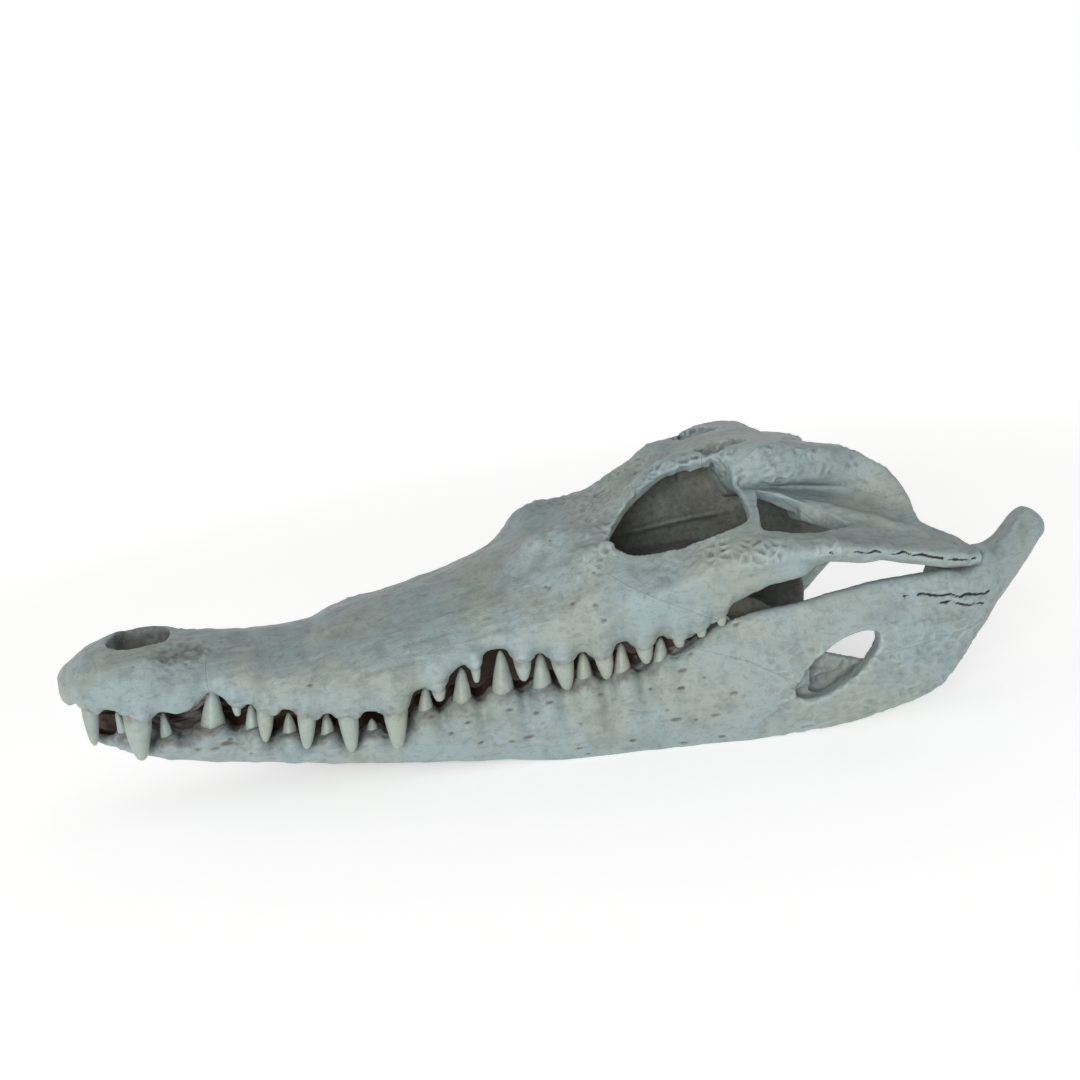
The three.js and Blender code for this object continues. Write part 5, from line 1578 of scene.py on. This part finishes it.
# The inner bone finish is a darker copy of the bone's, and its dark stain colour is the painted shade where
# the skull hides these bones.
inner_bone = bone_material("inner_bone", srgb(126, 134, 129), srgb(92, 97, 92), srgb(126, 126, 112),
                           srgb(48, 42, 35), 0.6)
tooth_finish = bone_material("tooth", srgb(152, 165, 160), srgb(122, 133, 128), srgb(154, 160, 147),
                             srgb(92, 76, 54), 0.32, 0.5)

# %% Pieces
SHARP_ANGLE = math.radians(58)


def place_piece(name, mesh, material, slot, *nodes):
    """Moves a mesh from skull millimetres into the frame and shades it smooth, except over sharp edges."""
    set_points(mesh, np.clip(to_frame(points_of(mesh)), *CAD_BOX))
    mesh.shade_smooth()
    mesh.set_sharp_from_angle(angle=SHARP_ANGLE)
    mesh.materials.clear()
    mesh.materials.append(material)
    piece = bpy.data.objects.new(name, mesh)
    bpy.context.scene.collection.objects.link(piece)
    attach(piece, "root")
    for node in nodes:
        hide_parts(node)
    return piece


for name, mesh in bones.items():
    place_piece(f"bone_{name}", mesh, bone, "bone", name)
for name, mesh in inner_bones.items():
    place_piece(f"bone_{name}", mesh, inner_bone, "inner_bone", name)
for name, mesh in tooth_meshes.items():
    place_piece(name, mesh, tooth_finish, "bone")
print("pieces placed;", round(time.time() - STARTED, 1), "s")

# %% [markdown]
# ## Floor and light
#
# The skull lies on a pale floor that glows a little more the farther away it is, so it runs into a white
# distance with no horizon. One large soft light stands low behind the viewer, where it shows the sides of
# the bones and leaves their tops a shade darker. The sky is brightest on the far side and dim overhead.

# %% Stage
FLOOR_HALF = 12.0
NEAR_GLOW, FAR_GLOW = 0.5, 1.0
GLOW_START, GLOW_END = 0.35, 1.6
SKY_BACK, SKY_FRONT = 1.0, 0.34
KEY_PLACE, KEY_SIZE, KEY_POWER = (-0.75, -1.65, 0.55), 1.0, 22.5
TOP_PLACE, TOP_SIZE, TOP_POWER = (0.3, -0.2, 1.7), 1.2, 1


def make_floor():
    """A square of floor whose own glow rises from NEAR_GLOW to FAR_GLOW with distance from the skull."""
    mesh = bpy.data.meshes.new("floor")
    h = FLOOR_HALF
    mesh.from_pydata([(-h, -h, 0), (h, -h, 0), (h, h, 0), (-h, h, 0)], [], [(0, 1, 2, 3)])
    thing = bpy.data.objects.new("floor", mesh)
    bpy.context.scene.collection.objects.link(thing)
    finish = bpy.data.materials.new("floor")
    finish.use_nodes = True
    tree = finish.node_tree
    shader = tree.nodes["Principled BSDF"]
    place = new_node(tree, "ShaderNodeTexCoord", None, 3)
    cloud = place.node("ShaderNodeTexNoise", None, 0, Vector=place, Scale=3.0, Detail=3.0)
    far = new_node(tree, "ShaderNodeVectorMath", {"operation": "LENGTH"}, 1, Vector=place)
    plug(tree, shader.inputs["Base Color"], cloud.mix(srgb(232, 232, 230), srgb(226, 227, 226)))
    glow = far.between(GLOW_START, GLOW_END).mix((NEAR_GLOW,) * 3, (FAR_GLOW,) * 3)
    plug(tree, shader.inputs["Emission Color"], glow)
    shader.inputs["Emission Strength"].default_value = 1.0
    shader.inputs["Roughness"].default_value = 0.9
    mesh.materials.append(finish)
    thing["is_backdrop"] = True
    return thing


def area_light(name, place, size, power, aim=(0, 0, 0.05)):
    """A square soft light at a place, turned to face the aim."""
    lamp = bpy.data.lights.new(name, "AREA")
    lamp.shape, lamp.size, lamp.energy = "SQUARE", size, power
    thing = bpy.data.objects.new(name, lamp)
    thing.location = place
    thing.rotation_euler = (Vector(aim) - Vector(place)).to_track_quat("-Z", "Y").to_euler()
    bpy.context.scene.collection.objects.link(thing)
    return thing


def make_sky():
    """Brightness by direction: SKY_BACK where it points away from the viewer and low, else SKY_FRONT."""
    world = bpy.data.worlds.new("sky")
    world.use_nodes = True
    tree = world.node_tree
    towards = new_node(tree, "ShaderNodeTexCoord", None, 0)
    parts = [new_node(tree, "ShaderNodeSeparateXYZ", None, k, Vector=towards) for k in (1, 2)]
    back = parts[0].between(0.0, 0.5) * (1 - parts[1].between(0.35, 0.8))
    plug(tree, tree.nodes["Background"].inputs["Color"], back.mix((SKY_FRONT,) * 3, (SKY_BACK,) * 3))
    bpy.context.scene.world = world


floor = make_floor()
area_light("key", KEY_PLACE, KEY_SIZE, KEY_POWER)
area_light("top", TOP_PLACE, TOP_SIZE, TOP_POWER)
make_sky()
bpy.context.scene.view_settings.view_transform = "Standard"

# %% Finish
new_low, new_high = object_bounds()
sizes = {"cad": CAD_BOX, "new": [list(new_low), list(new_high)]}
print("new box:", sizes["new"], "after", round(time.time() - STARTED, 1), "s")
